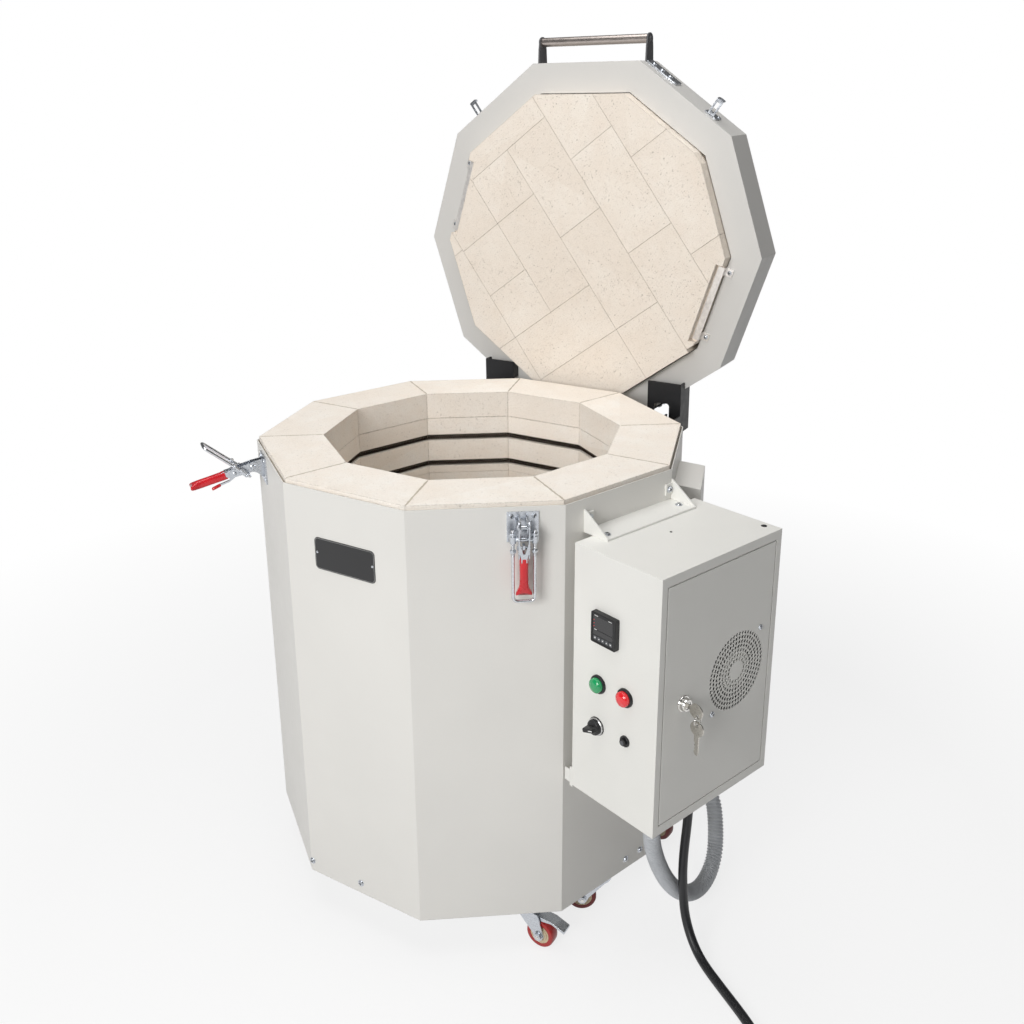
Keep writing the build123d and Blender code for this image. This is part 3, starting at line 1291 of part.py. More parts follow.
def wheel():
    """Tyre, rim and a hub that stands out to the fork, bored for the axle."""
    half = WHEEL_WIDE / 2
    hub = half + FORK_CLEAR - 0.4
    bore = AXLE_RADIUS + PIN_FIT
    rim = HUB_RADIUS + 4
    section = [(bore, -hub), (HUB_RADIUS - 4, -hub), (HUB_RADIUS - 4, -half + 2), (rim, -half + 2), (rim, -half), (WHEEL_RADIUS - 2, -half)]
    section += [(WHEEL_RADIUS, -half + 3)]
    section += [(r, -y) for r, y in reversed(section)]
    profile = make_face(Polyline(*section, close=True))
    return Pos(TRAIL, 0, AXLE_Z) * Rot(90, 0, 0) * revolve(Plane.XZ * profile, Axis.Z)


def pedal():
    """Brake pedal: a plate over the wheel, hinged in the cheeks."""
    x, z = PEDAL_PIVOT
    width = WHEEL_WIDE / 2
    side = [(x - 8, z - 2), (x, z - 5), (x + 28, z - 1), (x + 52, z - 10), (x + 52, z - 6), (x + 28, z + 3)]
    side += [(x, z + 4), (x - 8, z + 3)]
    plate = extrude(Plane.XZ * make_face(Polyline(*side, close=True)), width, both=True)
    reach = width + FORK_CLEAR + FORK_SHEET
    return plate + rod((x, -reach, z), (x, reach, z), PEDAL_PIN)


BRAKED = [i for i, castor in enumerate(CASTORS) if castor[3]]


def build():
    """Every node of the kiln, by name."""
    nodes = {
        "casing": casing(),
        "base_tray": base_tray(),
        "chamber_bricks": chamber_bricks(),
        "rim_bricks": rim_bricks(),
        "fibre_boards": fibre_boards(),
        "heating_elements": heating_elements(),
        "terminal_bushes": terminal_bushes(),
        "thermocouple": thermocouple(),
        "terminal_cover": terminal_cover(),
        "body_screws": body_screws(),
        "shelf_brackets": shelf_brackets(),
        "box_shell": box_shell(),
        "mounting_plate": mounting_plate(),
        "switchgear": switchgear(),
        "controller": controller(),
        "switch_bodies": switch_bodies(),
        "lamp_lenses": lamp_lenses(),
        "selector_knob": selector_knob(),
        "push_button": push_button(),
        "box_door": box_door(),
        "door_fixings": door_fixings(),
        "fan_frame": fan_frame(),
        "fan_rotor": fan_rotor(),
        "lock_key": lock_key(),
        "spare_key": spare_key(),
        "glands": glands(),
        "conduit": conduit(),
        "mains_cable": mains_cable(),
        "mains_coil": mains_coil(),
        "mains_plug": mains_plug(),
        "lid_shell": lid_shell(),
        "lid_board": lid_board(),
        "lid_bricks": lid_bricks(),
        "brick_retainers": brick_retainers(),
        "lid_screws": lid_screws(),
        "handle_brackets": handle_brackets(),
        "handle_tube": handle_tube(),
        "keepers": keepers(),
        "lid_hinges": lid_hinges(),
        "hinge_ears": hinge_ears(),
        "clamp_bases": clamp_bases(),
        "right_clamp_lever": right_clamp(clamp_lever()),
        "left_clamp_lever": left_clamp(clamp_lever()),
        "right_clamp_bolt": right_clamp(clamp_bolt(BOLT_REACH)),
        "left_clamp_bolt": left_bolt(),
        "right_clamp_trigger": right_clamp(clamp_trigger()),
        "left_clamp_trigger": left_clamp(clamp_trigger()),
        "castor_stems": castor_stems(),
    }
    for i in range(len(CASTORS)):
        nodes[f"castor_fork_{i + 1}"] = placed(i, fork(CASTORS[i][3]))
        nodes[f"castor_wheel_{i + 1}"] = placed(i, wheel())
    for i in BRAKED:
        nodes[f"brake_pedal_{i + 1}"] = placed(i, pedal())
    return nodes


nodes = build()
cord_nodes = ("conduit", "mains_cable", "mains_coil", "mains_plug")
boxes = [shape.bounding_box() for name, shape in nodes.items() if name not in cord_nodes]
middle_x = (min(b.min.X for b in boxes) + max(b.max.X for b in boxes)) / 2
middle_y = (min(b.min.Y for b in boxes) + max(b.max.Y for b in boxes)) / 2
print("kiln axis in the exported frame", round(-middle_x, 4), round(-middle_y, 4))

os.makedirs("parts", exist_ok=True)
for name, shape in nodes.items():
    export_step(Pos(-middle_x, -middle_y, 0) * shape, f"parts/{name}.step")
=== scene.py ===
import random
from math import asin, copysign, cos, degrees, pi, radians, sin, tan

import bmesh
import bpy
from mathutils import Matrix, Vector

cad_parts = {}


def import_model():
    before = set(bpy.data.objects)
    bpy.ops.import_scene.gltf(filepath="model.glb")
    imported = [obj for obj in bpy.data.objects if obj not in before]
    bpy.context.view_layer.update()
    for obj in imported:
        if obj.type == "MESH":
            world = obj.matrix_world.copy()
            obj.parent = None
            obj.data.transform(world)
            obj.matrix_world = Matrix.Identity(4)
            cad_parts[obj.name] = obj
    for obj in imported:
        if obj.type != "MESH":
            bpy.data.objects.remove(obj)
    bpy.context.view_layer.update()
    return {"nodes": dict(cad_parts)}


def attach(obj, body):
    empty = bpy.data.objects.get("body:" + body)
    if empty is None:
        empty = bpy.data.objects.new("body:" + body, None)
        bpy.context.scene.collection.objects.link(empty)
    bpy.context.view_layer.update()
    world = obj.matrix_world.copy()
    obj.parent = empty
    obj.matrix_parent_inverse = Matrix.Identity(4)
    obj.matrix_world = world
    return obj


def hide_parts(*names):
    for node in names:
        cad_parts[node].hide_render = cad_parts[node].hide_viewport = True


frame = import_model()

# The kiln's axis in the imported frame, metres. Sizes below are in millimetres in the kiln's own axes,
# and panels are named by the azimuth that they face, in degrees.
AXIS = Vector((-0.0933772, -0.0665528, 0))
RIM_Z = 788
RIM_TOP = 794
RIM_INNER = 246
RIM_OUTER = 350
CASE_R = 354
TRAY_SCREW_Z = 96
BOX_IN = 373
BOX_OUT = 539
BOX_FRONT = -114
BOX_TOP = 736
BOX_PANEL = -18
FRONT_PANEL = 270
RIGHT_PANEL = 306
LEFT_PANEL = 234
COVER_PANEL = 18
SIDES = ((1, RIGHT_PANEL), (-1, LEFT_PANEL))
HINGE_PANELS = ((1, 54), (-1, 126))
HALF = radians(18)  # half of what one side of the decagon spans
LID_R = 346
LID_CORNER = LID_R * tan(HALF)
HINGE_Y = 328
HINGE_Z = 736
LID_OPEN = 89
LID_LOW = 821.5
LID_MIDDLE = LID_LOW + 40
PIVOT_X = 374
PIVOT_Z = 764
CLAMP_SIDE = 53
BAR_DROP = 18
TRIGGER_DROP = 31
LOCK_T = -60
LOCK_Z = 529
FAN_T = 60
FAN_Z = 535

# Places of the instruments on the control face: distance from the axis, and height
CONTROLLER_AT = (440, 624)
LAMPS_AT = ((426, 530), (479, 532))
SELECTOR_AT = (424, 459)
BUTTON_AT = (481, 462)

# The camera's azimuth, elevation and roll in degrees, its place from the rim's centre, and its lens
CAMERA_TURN = (31.321, 17.382, -0.353)
CAMERA_BACK, CAMERA_RIGHT, CAMERA_UP = 1.80331, 0.06737, 0.00558
CAMERA_LENS = 36.30
CAMERA_SHIFT = -82 / 1024

# Edge radii of the soft normals, metres
COAT_EDGE, THIN_COAT_EDGE, BRICK_EDGE, FINE_EDGE = 0.0012, 0.0008, 0.0015, 0.0004

random.seed(7)
bpy.context.scene.view_settings.view_transform = "Standard"


def put(name, data):
    """A new object in the scene."""
    obj = bpy.data.objects.new(name, data)
    bpy.context.scene.collection.objects.link(obj)
    return obj


# Camera


def make_camera():
    turn, rise, roll = (radians(angle) for angle in CAMERA_TURN)
    back = Vector((sin(turn) * cos(rise), -cos(turn) * cos(rise), sin(rise)))
    level = Vector((cos(turn), sin(turn), 0))
    upright = back.cross(level)
    right = cos(roll) * level + sin(roll) * upright
    up = cos(roll) * upright - sin(roll) * level
    place = AXIS + Vector((0, 0, RIM_Z / 1000)) + back * CAMERA_BACK + right * CAMERA_RIGHT + up * CAMERA_UP
    data = bpy.data.cameras.new("camera")
    data.lens = CAMERA_LENS
    data.sensor_width = 36
    data.shift_y = CAMERA_SHIFT
    data.clip_end = 50
    camera = put("camera", data)
    camera.matrix_world = Matrix.Translation(place) @ Matrix((right, up, back)).transposed().to_4x4()
    bpy.context.scene.camera = camera


make_camera()


# Frames of reference


def kiln():
    return Matrix.Translation(AXIS) @ Matrix.Scale(0.001, 4)


def panel(azimuth):
    """Local x out from the axis, y along the panel, z up."""
    return kiln() @ Matrix.Rotation(radians(azimuth), 4, "Z")


def shift(x, y, z):
    return Matrix.Translation((x, y, z))


def spin(angle, axis):
    return Matrix.Rotation(radians(angle), 4, axis)


BOX = panel(BOX_PANEL)


def facing(x, y, z):
    """Local +Z along X from a place."""
    return shift(x, y, z) @ spin(90, "Y")


def on_panel(azimuth, out, t, z):
    """Local +Z out of a panel at a distance from the axis."""
    return panel(azimuth) @ facing(out, t, z)


def on_face(x, z):
    """Local +Z out of the control face, X away from the kiln, Y up."""
    return BOX @ shift(x, BOX_FRONT, z) @ spin(90, "X")


def on_door(t, z):
    """Local +Z out of the box's outer face, X down, Y along the door."""
    return on_panel(BOX_PANEL, BOX_OUT, t, z)


def opened():
    """From the closed lid's place to where it stands open."""
    return kiln() @ shift(0, HINGE_Y, HINGE_Z) @ spin(-LID_OPEN, "X") @ shift(0, -HINGE_Y, -HINGE_Z)


# Materials


def tone(r, g, b):
    """An 8-bit screen colour as linear values."""
    def one(c):
        c /= 255
        return c / 12.92 if c <= 0.04045 else ((c + 0.055) / 1.055) ** 2.4
    return (one(r), one(g), one(b), 1)


def add_node(tree, kind, out=None, inputs=None, **values):
    """A node with its settings, each input linked or set; gives the node, or one of its outputs."""
    node = tree.nodes.new("ShaderNode" + kind)
    for key, value in values.items():
        setattr(node, key, value)
    for key, value in (inputs or {}).items():
        if hasattr(value, "links"):
            tree.links.new(value, node.inputs[key])
        else:
            node.inputs[key].default_value = value
    return node if out is None else node.outputs[out]


class Nodes:
    """Short ways to build one material's node tree."""

    def __init__(self, name):
        self.material = bpy.data.materials.new(name)
        self.material.use_nodes = True
        self.tree = self.material.node_tree
        self.shader = self.tree.nodes["Principled BSDF"]

    def new(self, kind, out=None, inputs=None, **values):
        return add_node(self.tree, kind, out, inputs, **values)

    def set(self, **values):
        for key, value in values.items():
            self.shader.inputs[key.replace("_", " ")].default_value = value

    def place(self, scale=(1, 1, 1)):
        place = self.new("TexCoord", "Object")
        return self.new("Mapping", "Vector", {"Vector": place, "Scale": scale})

    def noise(self, scale, detail=4, rough=0.55, stretch=(1, 1, 1)):
        inputs = {"Scale": scale, "Detail": detail, "Roughness": rough, "Vector": self.place(stretch)}
        return self.new("TexNoise", "Fac", inputs)

    def cells(self, scale):
        return self.new("TexVoronoi", "Distance", {"Scale": scale, "Vector": self.place()})

    def range(self, value, low, high, to_low, to_high):
        inputs = {"Value": value, "From Min": low, "From Max": high, "To Min": to_low, "To Max": to_high}
        return self.new("MapRange", "Result", inputs)

    def ramp(self, value, *stops):
        """Colours at places between 0 and 1."""
        node = self.new("ValToRGB", None, {"Fac": value})
        for element, (place, color) in zip(node.color_ramp.elements, stops):
            element.position = place
            element.color = color
        return node.outputs["Color"]

    def mix(self, factor, a, b, mode="MIX"):
        return self.new("Mix", 2, {0: factor, 6: a, 7: b}, data_type="RGBA", blend_type=mode)

    def math(self, kind, a, b):
        return self.new("Math", 0, {0: a, 1: b}, operation=kind)

    def bump(self, height, strength, distance, normal):
        inputs = {"Strength": strength, "Distance": distance, "Height": height, "Normal": normal}
        return self.new("Bump", "Normal", inputs)

    def soft_edges(self, radius):
        return self.new("Bevel", "Normal", {"Radius": radius}, samples=6)

    def wear_and_shade_edges(self, radius):
        """1 along a solid's outer edges, 0 on its faces."""
        both = {0: self.soft_edges(radius), 1: self.new("NewGeometry", "Normal")}
        return self.range(self.new("VectorMath", "Value", both, operation="DOT_PRODUCT"), 0.99, 0.86, 0, 1)

    def finish(self, color, rough, normal):
        for value, key in ((color, "Base Color"), (rough, "Roughness"), (normal, "Normal")):
            self.tree.links.new(value, self.shader.inputs[key])
        return self.material


def shade(color, factor):
    return (*(c * factor for c in color[:3]), 1)


def powder_coat(name, color, edge=COAT_EDGE):
    """Baked powder paint: fine orange peel, faint clouding."""
    n, color = Nodes(name), tone(*color)
    n.set(Specular_IOR_Level=0.42)
    fine = n.noise(1400, 2)
    base = n.ramp(n.noise(3.5, 3), (0.3, shade(color, 0.965)), (0.7, shade(color, 1.02)))
    speck = n.ramp(fine, (0.35, (0.93, 0.93, 0.93, 1)), (0.6, (1, 1, 1, 1)))
    rough = n.range(n.noise(60, 3), 0.3, 0.7, 0.40, 0.52)
    normal = n.bump(fine, 0.16, 0.0002, n.soft_edges(edge))
    return n.finish(n.mix(0.35, base, speck, "MULTIPLY"), rough, normal)


def fire_brick(name, light, dark):
    """Insulating brick: open pores, granular face, crumbled edges darkened partly as wear and partly as
    painted shade in the joints, each brick its own tone.
    """
    n, light, dark = Nodes(name), tone(*light), tone(*dark)
    n.set(Specular_IOR_Level=0.12)
    body = n.ramp(n.noise(16, 6, 0.66), (0.28, dark), (0.72, light))
    island = n.new("NewGeometry", "Random Per Island")
    body = n.mix(n.range(island, 0, 1, 0, 0.6), body, shade(dark, 0.97))
    grain = n.noise(620, 4, 0.72)
    granules = n.ramp(grain, (0.34, (0.78, 0.75, 0.71, 1)), (0.52, (1, 1, 1, 1)))
    body = n.mix(0.45, body, granules, "MULTIPLY")
    specks = n.range(n.noise(290, 3, 0.6), 0.28, 0.37, 0, 1)
    pores = n.range(n.cells(430), 0.04, 0.20, 0, 1)
    scatter = n.range(n.noise(60, 2), 0.36, 0.52, 0, 1)
    open_pores = n.math("MINIMUM", n.math("MAXIMUM", pores, scatter), specks)
    body = n.mix(n.math("MULTIPLY", n.math("SUBTRACT", 1, open_pores), 0.6), body, shade(dark, 0.56))
    # Edge darkening: part crumbled wear, part painted shade where the bricks meet in the joints.
    wear_and_shade = n.wear_and_shade_edges(BRICK_EDGE * 2.2)
    crumbs_and_joint_shade = n.math("MULTIPLY", wear_and_shade, n.range(n.noise(260, 3), 0.42, 0.58, 0, 1))
    body = n.mix(n.math("MULTIPLY", crumbs_and_joint_shade, 0.6), body, shade(dark, 0.66))
    relief = n.math("SUBTRACT", n.math("ADD", n.math("MULTIPLY", grain, 0.6), open_pores), crumbs_and_joint_shade)
    normal = n.bump(relief, 0.75, 0.0012, n.soft_edges(BRICK_EDGE))
    return n.finish(body, n.range(grain, 0.3, 0.7, 0.88, 0.98), normal)


def metal(name, color, low, high, stretch=(1, 1, 1), scale=160, relief=0.08):
    """Bare metal with a fine grain, its roughness between two limits."""
    n, color = Nodes(name), tone(*color)
    n.set(Metallic=1)
    grain = n.noise(scale, 4, 0.6, stretch)
    base = n.ramp(grain, (0.3, shade(color, 0.86)), (0.7, shade(color, 1.05)))
    normal = n.bump(grain, relief, 0.0002, n.soft_edges(FINE_EDGE))
    return n.finish(base, n.range(grain, 0.3, 0.7, low, high), normal)


def plastic(name, color, low, high, scale=900, relief=0.1, coat=0):
    n, color = Nodes(name), tone(*color)
    n.set(Specular_IOR_Level=0.5, Coat_Weight=coat, Coat_Roughness=0.12)
    cloud = n.noise(30, 3)
    base = n.ramp(cloud, (0.3, shade(color, 0.9)), (0.7, shade(color, 1.08)))
    normal = n.bump(n.noise(scale, 3), relief, 0.0002, n.soft_edges(FINE_EDGE))
    return n.finish(base, n.range(cloud, 0.3, 0.7, low, high), normal)


COAT = powder_coat("powder_grey", (230, 228, 223))
# The lid shell has the casing's grey paint, darkened here as painted shade for the open lid.
COAT_LID_SHADED = powder_coat("powder_lid", (218, 216, 212))
COAT_BOX = powder_coat("powder_box", (234, 233, 228))
BRICK = fire_brick("fire_brick", (255, 251, 244), (250, 240, 228))
LID_BRICK = fire_brick("lid_brick", (254, 246, 235), (247, 235, 221))
BOARD = fire_brick("fibre_board", (240, 236, 228), (228, 222, 212))
STEEL = metal("tray_steel", (196, 196, 194), 0.32, 0.5)
ZINC = metal("bright_zinc", (206, 210, 216), 0.2, 0.38, scale=220, relief=0.12)
RETAINER = metal("retainer_steel", (236, 232, 228), 0.36, 0.5)
CHROME = metal("polished_plate", (226, 224, 220), 0.1, 0.2, scale=90)
SILVER = metal("silver_bezel", (214, 214, 214), 0.22, 0.34, scale=300)
LABEL = plastic("blank_label", (206, 206, 202), 0.35, 0.5)
KEY = metal("key_nickel", (206, 202, 194), 0.24, 0.4, scale=400)
CHROME_WIRE = metal("bright_wire", (216, 218, 222), 0.14, 0.26, scale=300)
BRUSHED = metal("brushed_tube", (188, 178, 172), 0.22, 0.36, stretch=(0.06, 1, 1), scale=900, relief=0.2)
BLACK_COAT = powder_coat("powder_black", (34, 34, 36), THIN_COAT_EDGE)
EARS = powder_coat("powder_graphite", (92, 92, 94), THIN_COAT_EDGE)
BLACK = plastic("black_plastic", (26, 26, 28), 0.34, 0.5)
DARK_GREY = plastic("grey_plastic", (86, 88, 92), 0.4, 0.55)
RED_GRIP = plastic("dipped_red", (206, 24, 36), 0.25, 0.38, scale=300, coat=0.35)
RUBBER = plastic("cable_rubber", (30, 31, 34), 0.34, 0.48, scale=500, relief=0.15)
HOSE = plastic("conduit_skin", (186, 189, 193), 0.28, 0.4, scale=400)
TYRE = plastic("wheel_red", (168, 38, 34), 0.32, 0.46, coat=0.2)
# The same red wheel darkened: painted shade for the castors under the kiln.
TYRE_SHADED = plastic("wheel_maroon", (112, 36, 34), 0.42, 0.56)
HUB = plastic("wheel_hub", (206, 190, 160), 0.4, 0.52)
PORCELAIN = plastic("porcelain", (238, 234, 226), 0.35, 0.5, relief=0.05)
COIL = metal("element_wire", (74, 64, 58), 0.5, 0.68, scale=300)
PLUG = plastic("plug_body", (190, 34, 30), 0.32, 0.46)
CEMENT = fire_brick("joint_cement", (224, 214, 198), (198, 186, 168))
PLATE = plastic("plate_black", (24, 24, 26), 0.3, 0.42, scale=700, coat=0.2)
RULE = metal("plate_rule", (196, 196, 194), 0.28, 0.4)
GREEN_LENS = plastic("lens_green", (8, 158, 92), 0.12, 0.2, scale=120, relief=0.02, coat=0.8)
RED_LENS = plastic("lens_red", (232, 26, 38), 0.12, 0.2, scale=120, relief=0.02, coat=0.8)
DISPLAY = plastic("display_glass", (16, 15, 17), 0.08, 0.14, relief=0, coat=0.6)
WHITE_MARK = plastic("white_mark", (232, 232, 230), 0.4, 0.5)


def dress(node, material):
    slots = frame["nodes"][node].data.materials
    if not slots:
        slots.append(material)
    for i in range(len(slots)):
        slots[i] = material


DRESSED = {
    COAT: ("casing", "terminal_cover"),
    COAT_LID_SHADED: ("lid_shell",),
    COAT_BOX: ("box_shell", "shelf_brackets"),
    BRICK: ("chamber_bricks", "rim_bricks"),
    LID_BRICK: ("lid_bricks",),
    BOARD: ("fibre_boards", "lid_board"),
    STEEL: ("base_tray", "mounting_plate"),
    ZINC: ("clamp_bases", "keepers", "castor_stems", "brake_pedal_1", "brake_pedal_2"),
    RETAINER: ("brick_retainers",),
    BLACK_COAT: ("lid_hinges", "hinge_ears"),
    EARS: ("handle_brackets",),
    BRUSHED: ("handle_tube",),
    DARK_GREY: ("switchgear",),
    BLACK: ("switch_bodies", "fan_frame", "fan_rotor", "glands"),
    PORCELAIN: ("terminal_bushes", "thermocouple"),
}
for material, nodes in DRESSED.items():
    for node in nodes:
        dress(node, material)
for i in range(1, 6):
    dress(f"castor_fork_{i}", ZINC)


# Mesh shapes, in local millimetres


def box(x, y, z):
    verts = [(a, b, c) for a in x for b in y for c in z]
    faces = [(0, 1, 3, 2), (4, 6, 7, 5), (0, 4, 5, 1), (2, 3, 7, 6), (0, 2, 6, 4), (1, 5, 7, 3)]
    return verts, faces


def slab(points, low, high):
    """A plan outline, counter-clockwise, drawn up along Z."""
    n = len(points)
    verts = [(x, y, low) for x, y in points] + [(x, y, high) for x, y in points]
    faces = [tuple(range(n - 1, -1, -1)), tuple(range(n, 2 * n))]
    faces += [(i, (i + 1) % n, n + (i + 1) % n, n + i) for i in range(n)]
    return verts, faces


def turns(count, start=0):
    """Angles evenly round a circle, in radians."""
    return [start + 2 * pi * i / count for i in range(count)]


def arc(x, y, half_x, half_y, angles):
    """Points of an ellipse about x and y, at angles in degrees."""
    return [(x + half_x * cos(radians(a)), y + half_y * sin(radians(a))) for a in angles]


def circle(radius, sides, x=0, y=0, turn=0):
    return [(x + radius * cos(a), y + radius * sin(a)) for a in turns(sides, radians(turn))]


def rectangle(x, y):
    return [(x[0], y[0]), (x[1], y[0]), (x[1], y[1]), (x[0], y[1])]


def rounded(width, height, radius):
    points = []
    for cx, cy, start in ((1, 1, 0), (-1, 1, 90), (-1, -1, 180), (1, -1, 270)):
        x, y = cx * (width / 2 - radius), cy * (height / 2 - radius)
        points += arc(x, y, radius, radius, range(start, start + 91, 18))
    return points


def at(points, z):
    """A plan outline as a ring of points at one height."""
    return [(x, y, z) for x, y in points]


def beside(points, x, y):
    return [(a + x, b + y) for a, b in points]


def rod(radius, low, high):
    """The profile of a plain round rod, for the lathe."""
    return [(0, low), (radius, low), (radius, high), (0, high)]


def both_ends(*half):
    """A profile that is the same below z 0 as above it."""
    return [(r, -z) for r, z in half] + list(half[::-1])


def lathe(profile, sides):
    """A profile of (radius, z) turned about Z; ends on the axis close it."""
    verts, faces, rings = [], [], []
    for r, z in profile:
        start = len(verts)
        verts += [(0, 0, z)] if r < 1e-6 else [(r * cos(a), r * sin(a), z) for a in turns(sides)]
        rings.append(range(start, len(verts)))
    for a, b in zip(rings, rings[1:]):
        for i in range(sides):
            j = (i + 1) % sides
            if len(a) == 1 and len(b) > 1:
                faces.append((a[0], b[j], b[i]))
            elif len(b) == 1 and len(a) > 1:
                faces.append((a[i], a[j], b[0]))
            elif len(a) > 1:
                faces.append((a[i], a[j], b[j], b[i]))
    return verts, faces


def bands(count, sides, closed=False):
    """Faces that join rings of equal count in turn."""
    faces = []
    for i in range(count if closed else count - 1):
        a, b = i * sides, ((i + 1) % count) * sides
        faces += [(a + k, a + (k + 1) % sides, b + (k + 1) % sides, b + k) for k in range(sides)]
    return faces


def caps(count, sides):
    return [tuple(range(sides - 1, -1, -1)), tuple(range((count - 1) * sides, count * sides))]


def lofted(rings):
    """Closed rings of equal count joined in turn, with capped ends."""
    count, sides = len(rings), len(rings[0])
    return [v for ring in rings for v in ring], bands(count, sides) + caps(count, sides)


def sections(points, closed=False):
    """Each point of a line with two directions across it, carried along without twist."""
    points = [Vector(p) for p in points]
    count, across, found = len(points), None, []
    for i, p in enumerate(points):
        before = points[i - 1] if i or closed else p
        after = points[(i + 1) % count] if i < count - 1 or closed else p
        along = (after - before).normalized()
        across = across or along.orthogonal().normalized()
        across = (across - along * across.dot(along)).normalized()
        found.append((p, across, along.cross(across)))
    return found


def around(place, radius, angle):
    p, across, other = place
    return tuple(p + across * (radius * cos(angle)) + other * (radius * sin(angle)))


def pipe(points, radius, sides, closed=False):
    """A round tube along points."""
    verts = [around(place, radius, a) for place in sections(points, closed) for a in turns(sides)]
    faces = bands(len(points), sides, closed)
    return verts, faces if closed else faces + caps(len(points), sides)


def moved(turn, shape):
    return [tuple(turn @ Vector(v)) for v in shape[0]], shape[1]


YZX = Matrix(((0, 0, 1, 0), (1, 0, 0, 0), (0, 1, 0, 0), (0, 0, 0, 1)))
Y_UP = spin(90, "X")
ALONG_Y = spin(-90, "X")


def plate_xz(points, low, high):
    """A plate between two limits on Y, its outline in X and Z counter-clockwise seen from -Y."""
    return moved(Y_UP, slab(points, -high, -low))


def plate_yz(points, low, high):
    """A plate between two limits on X."""
    return moved(YZX, slab(points, low, high))


def nut(radius, high):
    """A hexagon nut with chamfered corners."""
    full, trim = circle(radius, 6), circle(radius * 0.9, 6)
    edges = ((trim, 0), (full, 0.4), (full, high - 0.4), (trim, high))
    return lofted([at(ring, z) for ring, z in edges])


def read_off(curve):
    """The points and faces that a curve gives; the curve is taken away again."""
    holder = bpy.data.objects.new("holder", curve)
    mesh = bpy.data.meshes.new_from_object(holder)
    shape = [v.co.copy() for v in mesh.vertices], [tuple(p.vertices) for p in mesh.polygons]
    bpy.data.objects.remove(holder)
    bpy.data.curves.remove(curve)
    bpy.data.meshes.remove(mesh)
    return shape


def pierced(outer, holes, low, high):
    """A flat sheet with holes, from outlines filled by a 2-D curve."""
    curve = bpy.data.curves.new("outline", "CURVE")
    curve.dimensions = "2D"
    curve.fill_mode = "BOTH"
    curve.extrude = (high - low) / 2
    for outline in [outer] + holes:
        spline = curve.splines.new("POLY")
        spline.points.add(len(outline) - 1)
        for point, (x, y) in zip(spline.points, outline):
            point.co = (x, y, 0, 1)
        spline.use_cyclic_u = True
    verts, faces = read_off(curve)
    return [(x, y, z + (high + low) / 2) for x, y, z in verts], faces


def outward(mesh):
    """Turn every face's normal outward."""
    work = bmesh.new()
    work.from_mesh(mesh)
    bmesh.ops.recalc_face_normals(work, faces=work.faces)
    work.to_mesh(mesh)
    work.free()
    mesh.update()


class Piece:
    """Collects shapes with their own materials into one object that rides on a body."""

    def __init__(self, name, body, matrix=None):
        self.name, self.body = name, body
        self.matrix = matrix or kiln()
        self.verts, self.faces, self.indices, self.materials = [], [], [], []

    def add(self, shape, material, local=Matrix.Identity(4)):
        start = len(self.verts)
        self.verts += moved(self.matrix @ local, shape)[0]
        if material not in self.materials:
            self.materials.append(material)
        index = self.materials.index(material)
        self.faces += [tuple(start + i for i in face) for face in shape[1]]
        self.indices += [index] * len(shape[1])
        return self

    def done(self, slot, *replaces, bevel=0, sharp=38):
        mesh = bpy.data.meshes.new(self.name)
        mesh.from_pydata(self.verts, [], self.faces)
        for material in self.materials:
            mesh.materials.append(material)
        mesh.polygons.foreach_set("material_index", self.indices)
        mesh.polygons.foreach_set("use_smooth", [True] * len(self.faces))
        outward(mesh)
        mesh.set_sharp_from_angle(angle=radians(sharp))
        obj = put(self.name, mesh)
        if bevel:
            modifier = obj.modifiers.new("edges", "BEVEL")
            modifier.width = bevel / 1000
            modifier.segments = 2
            modifier.limit_method = "ANGLE"
            modifier.angle_limit = radians(50)
            modifier.harden_normals = True
        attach(obj, self.body)
        if replaces:
            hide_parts(*replaces)
        return obj


# Cords: the conduit from the box to the terminal cover, and the mains lead with its put-away coil


CONDUIT_ROUTE = (
    (454, -20, 299), (454, -20, 236), (450.1, 4.7, 164.9), (445.4, 46.4, 93.6),
    (441.6, 96.7, 43.2), (436.5, 147.3, 28.2), (421.2, 197.7, 48.2), (406, 216, 104),
    (386, 227, 150), (345, 226, 174), (304.2, 221, 212), (304.2, 221, 268),
)
CABLE_ROUTE = (
    (455, -69, 298), (455, -69, 232), (459, -97.7, 154), (462.8, -97, 88.4),
    (471, -104, 54), (489, -116, 24), (515, -134, 7.5), (560, -167, 7.5),
    (612, -204, 7.5), (655, -241, 7.5), (700, -275, 7.5),
)
COIL_RADII = (98, 90.1, 82.2, 74.3, 82.2, 90.1)
HALF_TURN_POINTS = 9
CABLE_RADIUS = 0.0075


def nurbs(name, points):
    """A cord's line: one NURBS spline whose control points are the route."""
    curve = bpy.data.curves.new(name, "CURVE")
    curve.dimensions = "3D"
    curve.resolution_u = 12
    spline = curve.splines.new("NURBS")
    spline.points.add(len(points) - 1)
    for point, place in zip(spline.points, points):
        point.co = (*place, 1)
    spline.order_u = 3
    spline.use_endpoint_u = True
    return curve


def line_of(route):
    """The points that a cord's line runs through, in order."""
    return read_off(nurbs("line", route))[0]


def length_of(points):
    return sum((b - a).length for a, b in zip(points, points[1:]))


def spaced(points, step):
    """The same line with its points evenly apart."""
    total = length_of(points)
    count = max(2, round(total / step))
    found, i, passed = [points[0]], 0, 0
    for n in range(1, count):
        goal = total * n / count
        span = (points[i + 1] - points[i]).length
        while passed + span < goal:
            passed += span
            i += 1
            span = (points[i + 1] - points[i]).length
        found.append(points[i].lerp(points[i + 1], (goal - passed) / span))
    return found + [points[-1]]


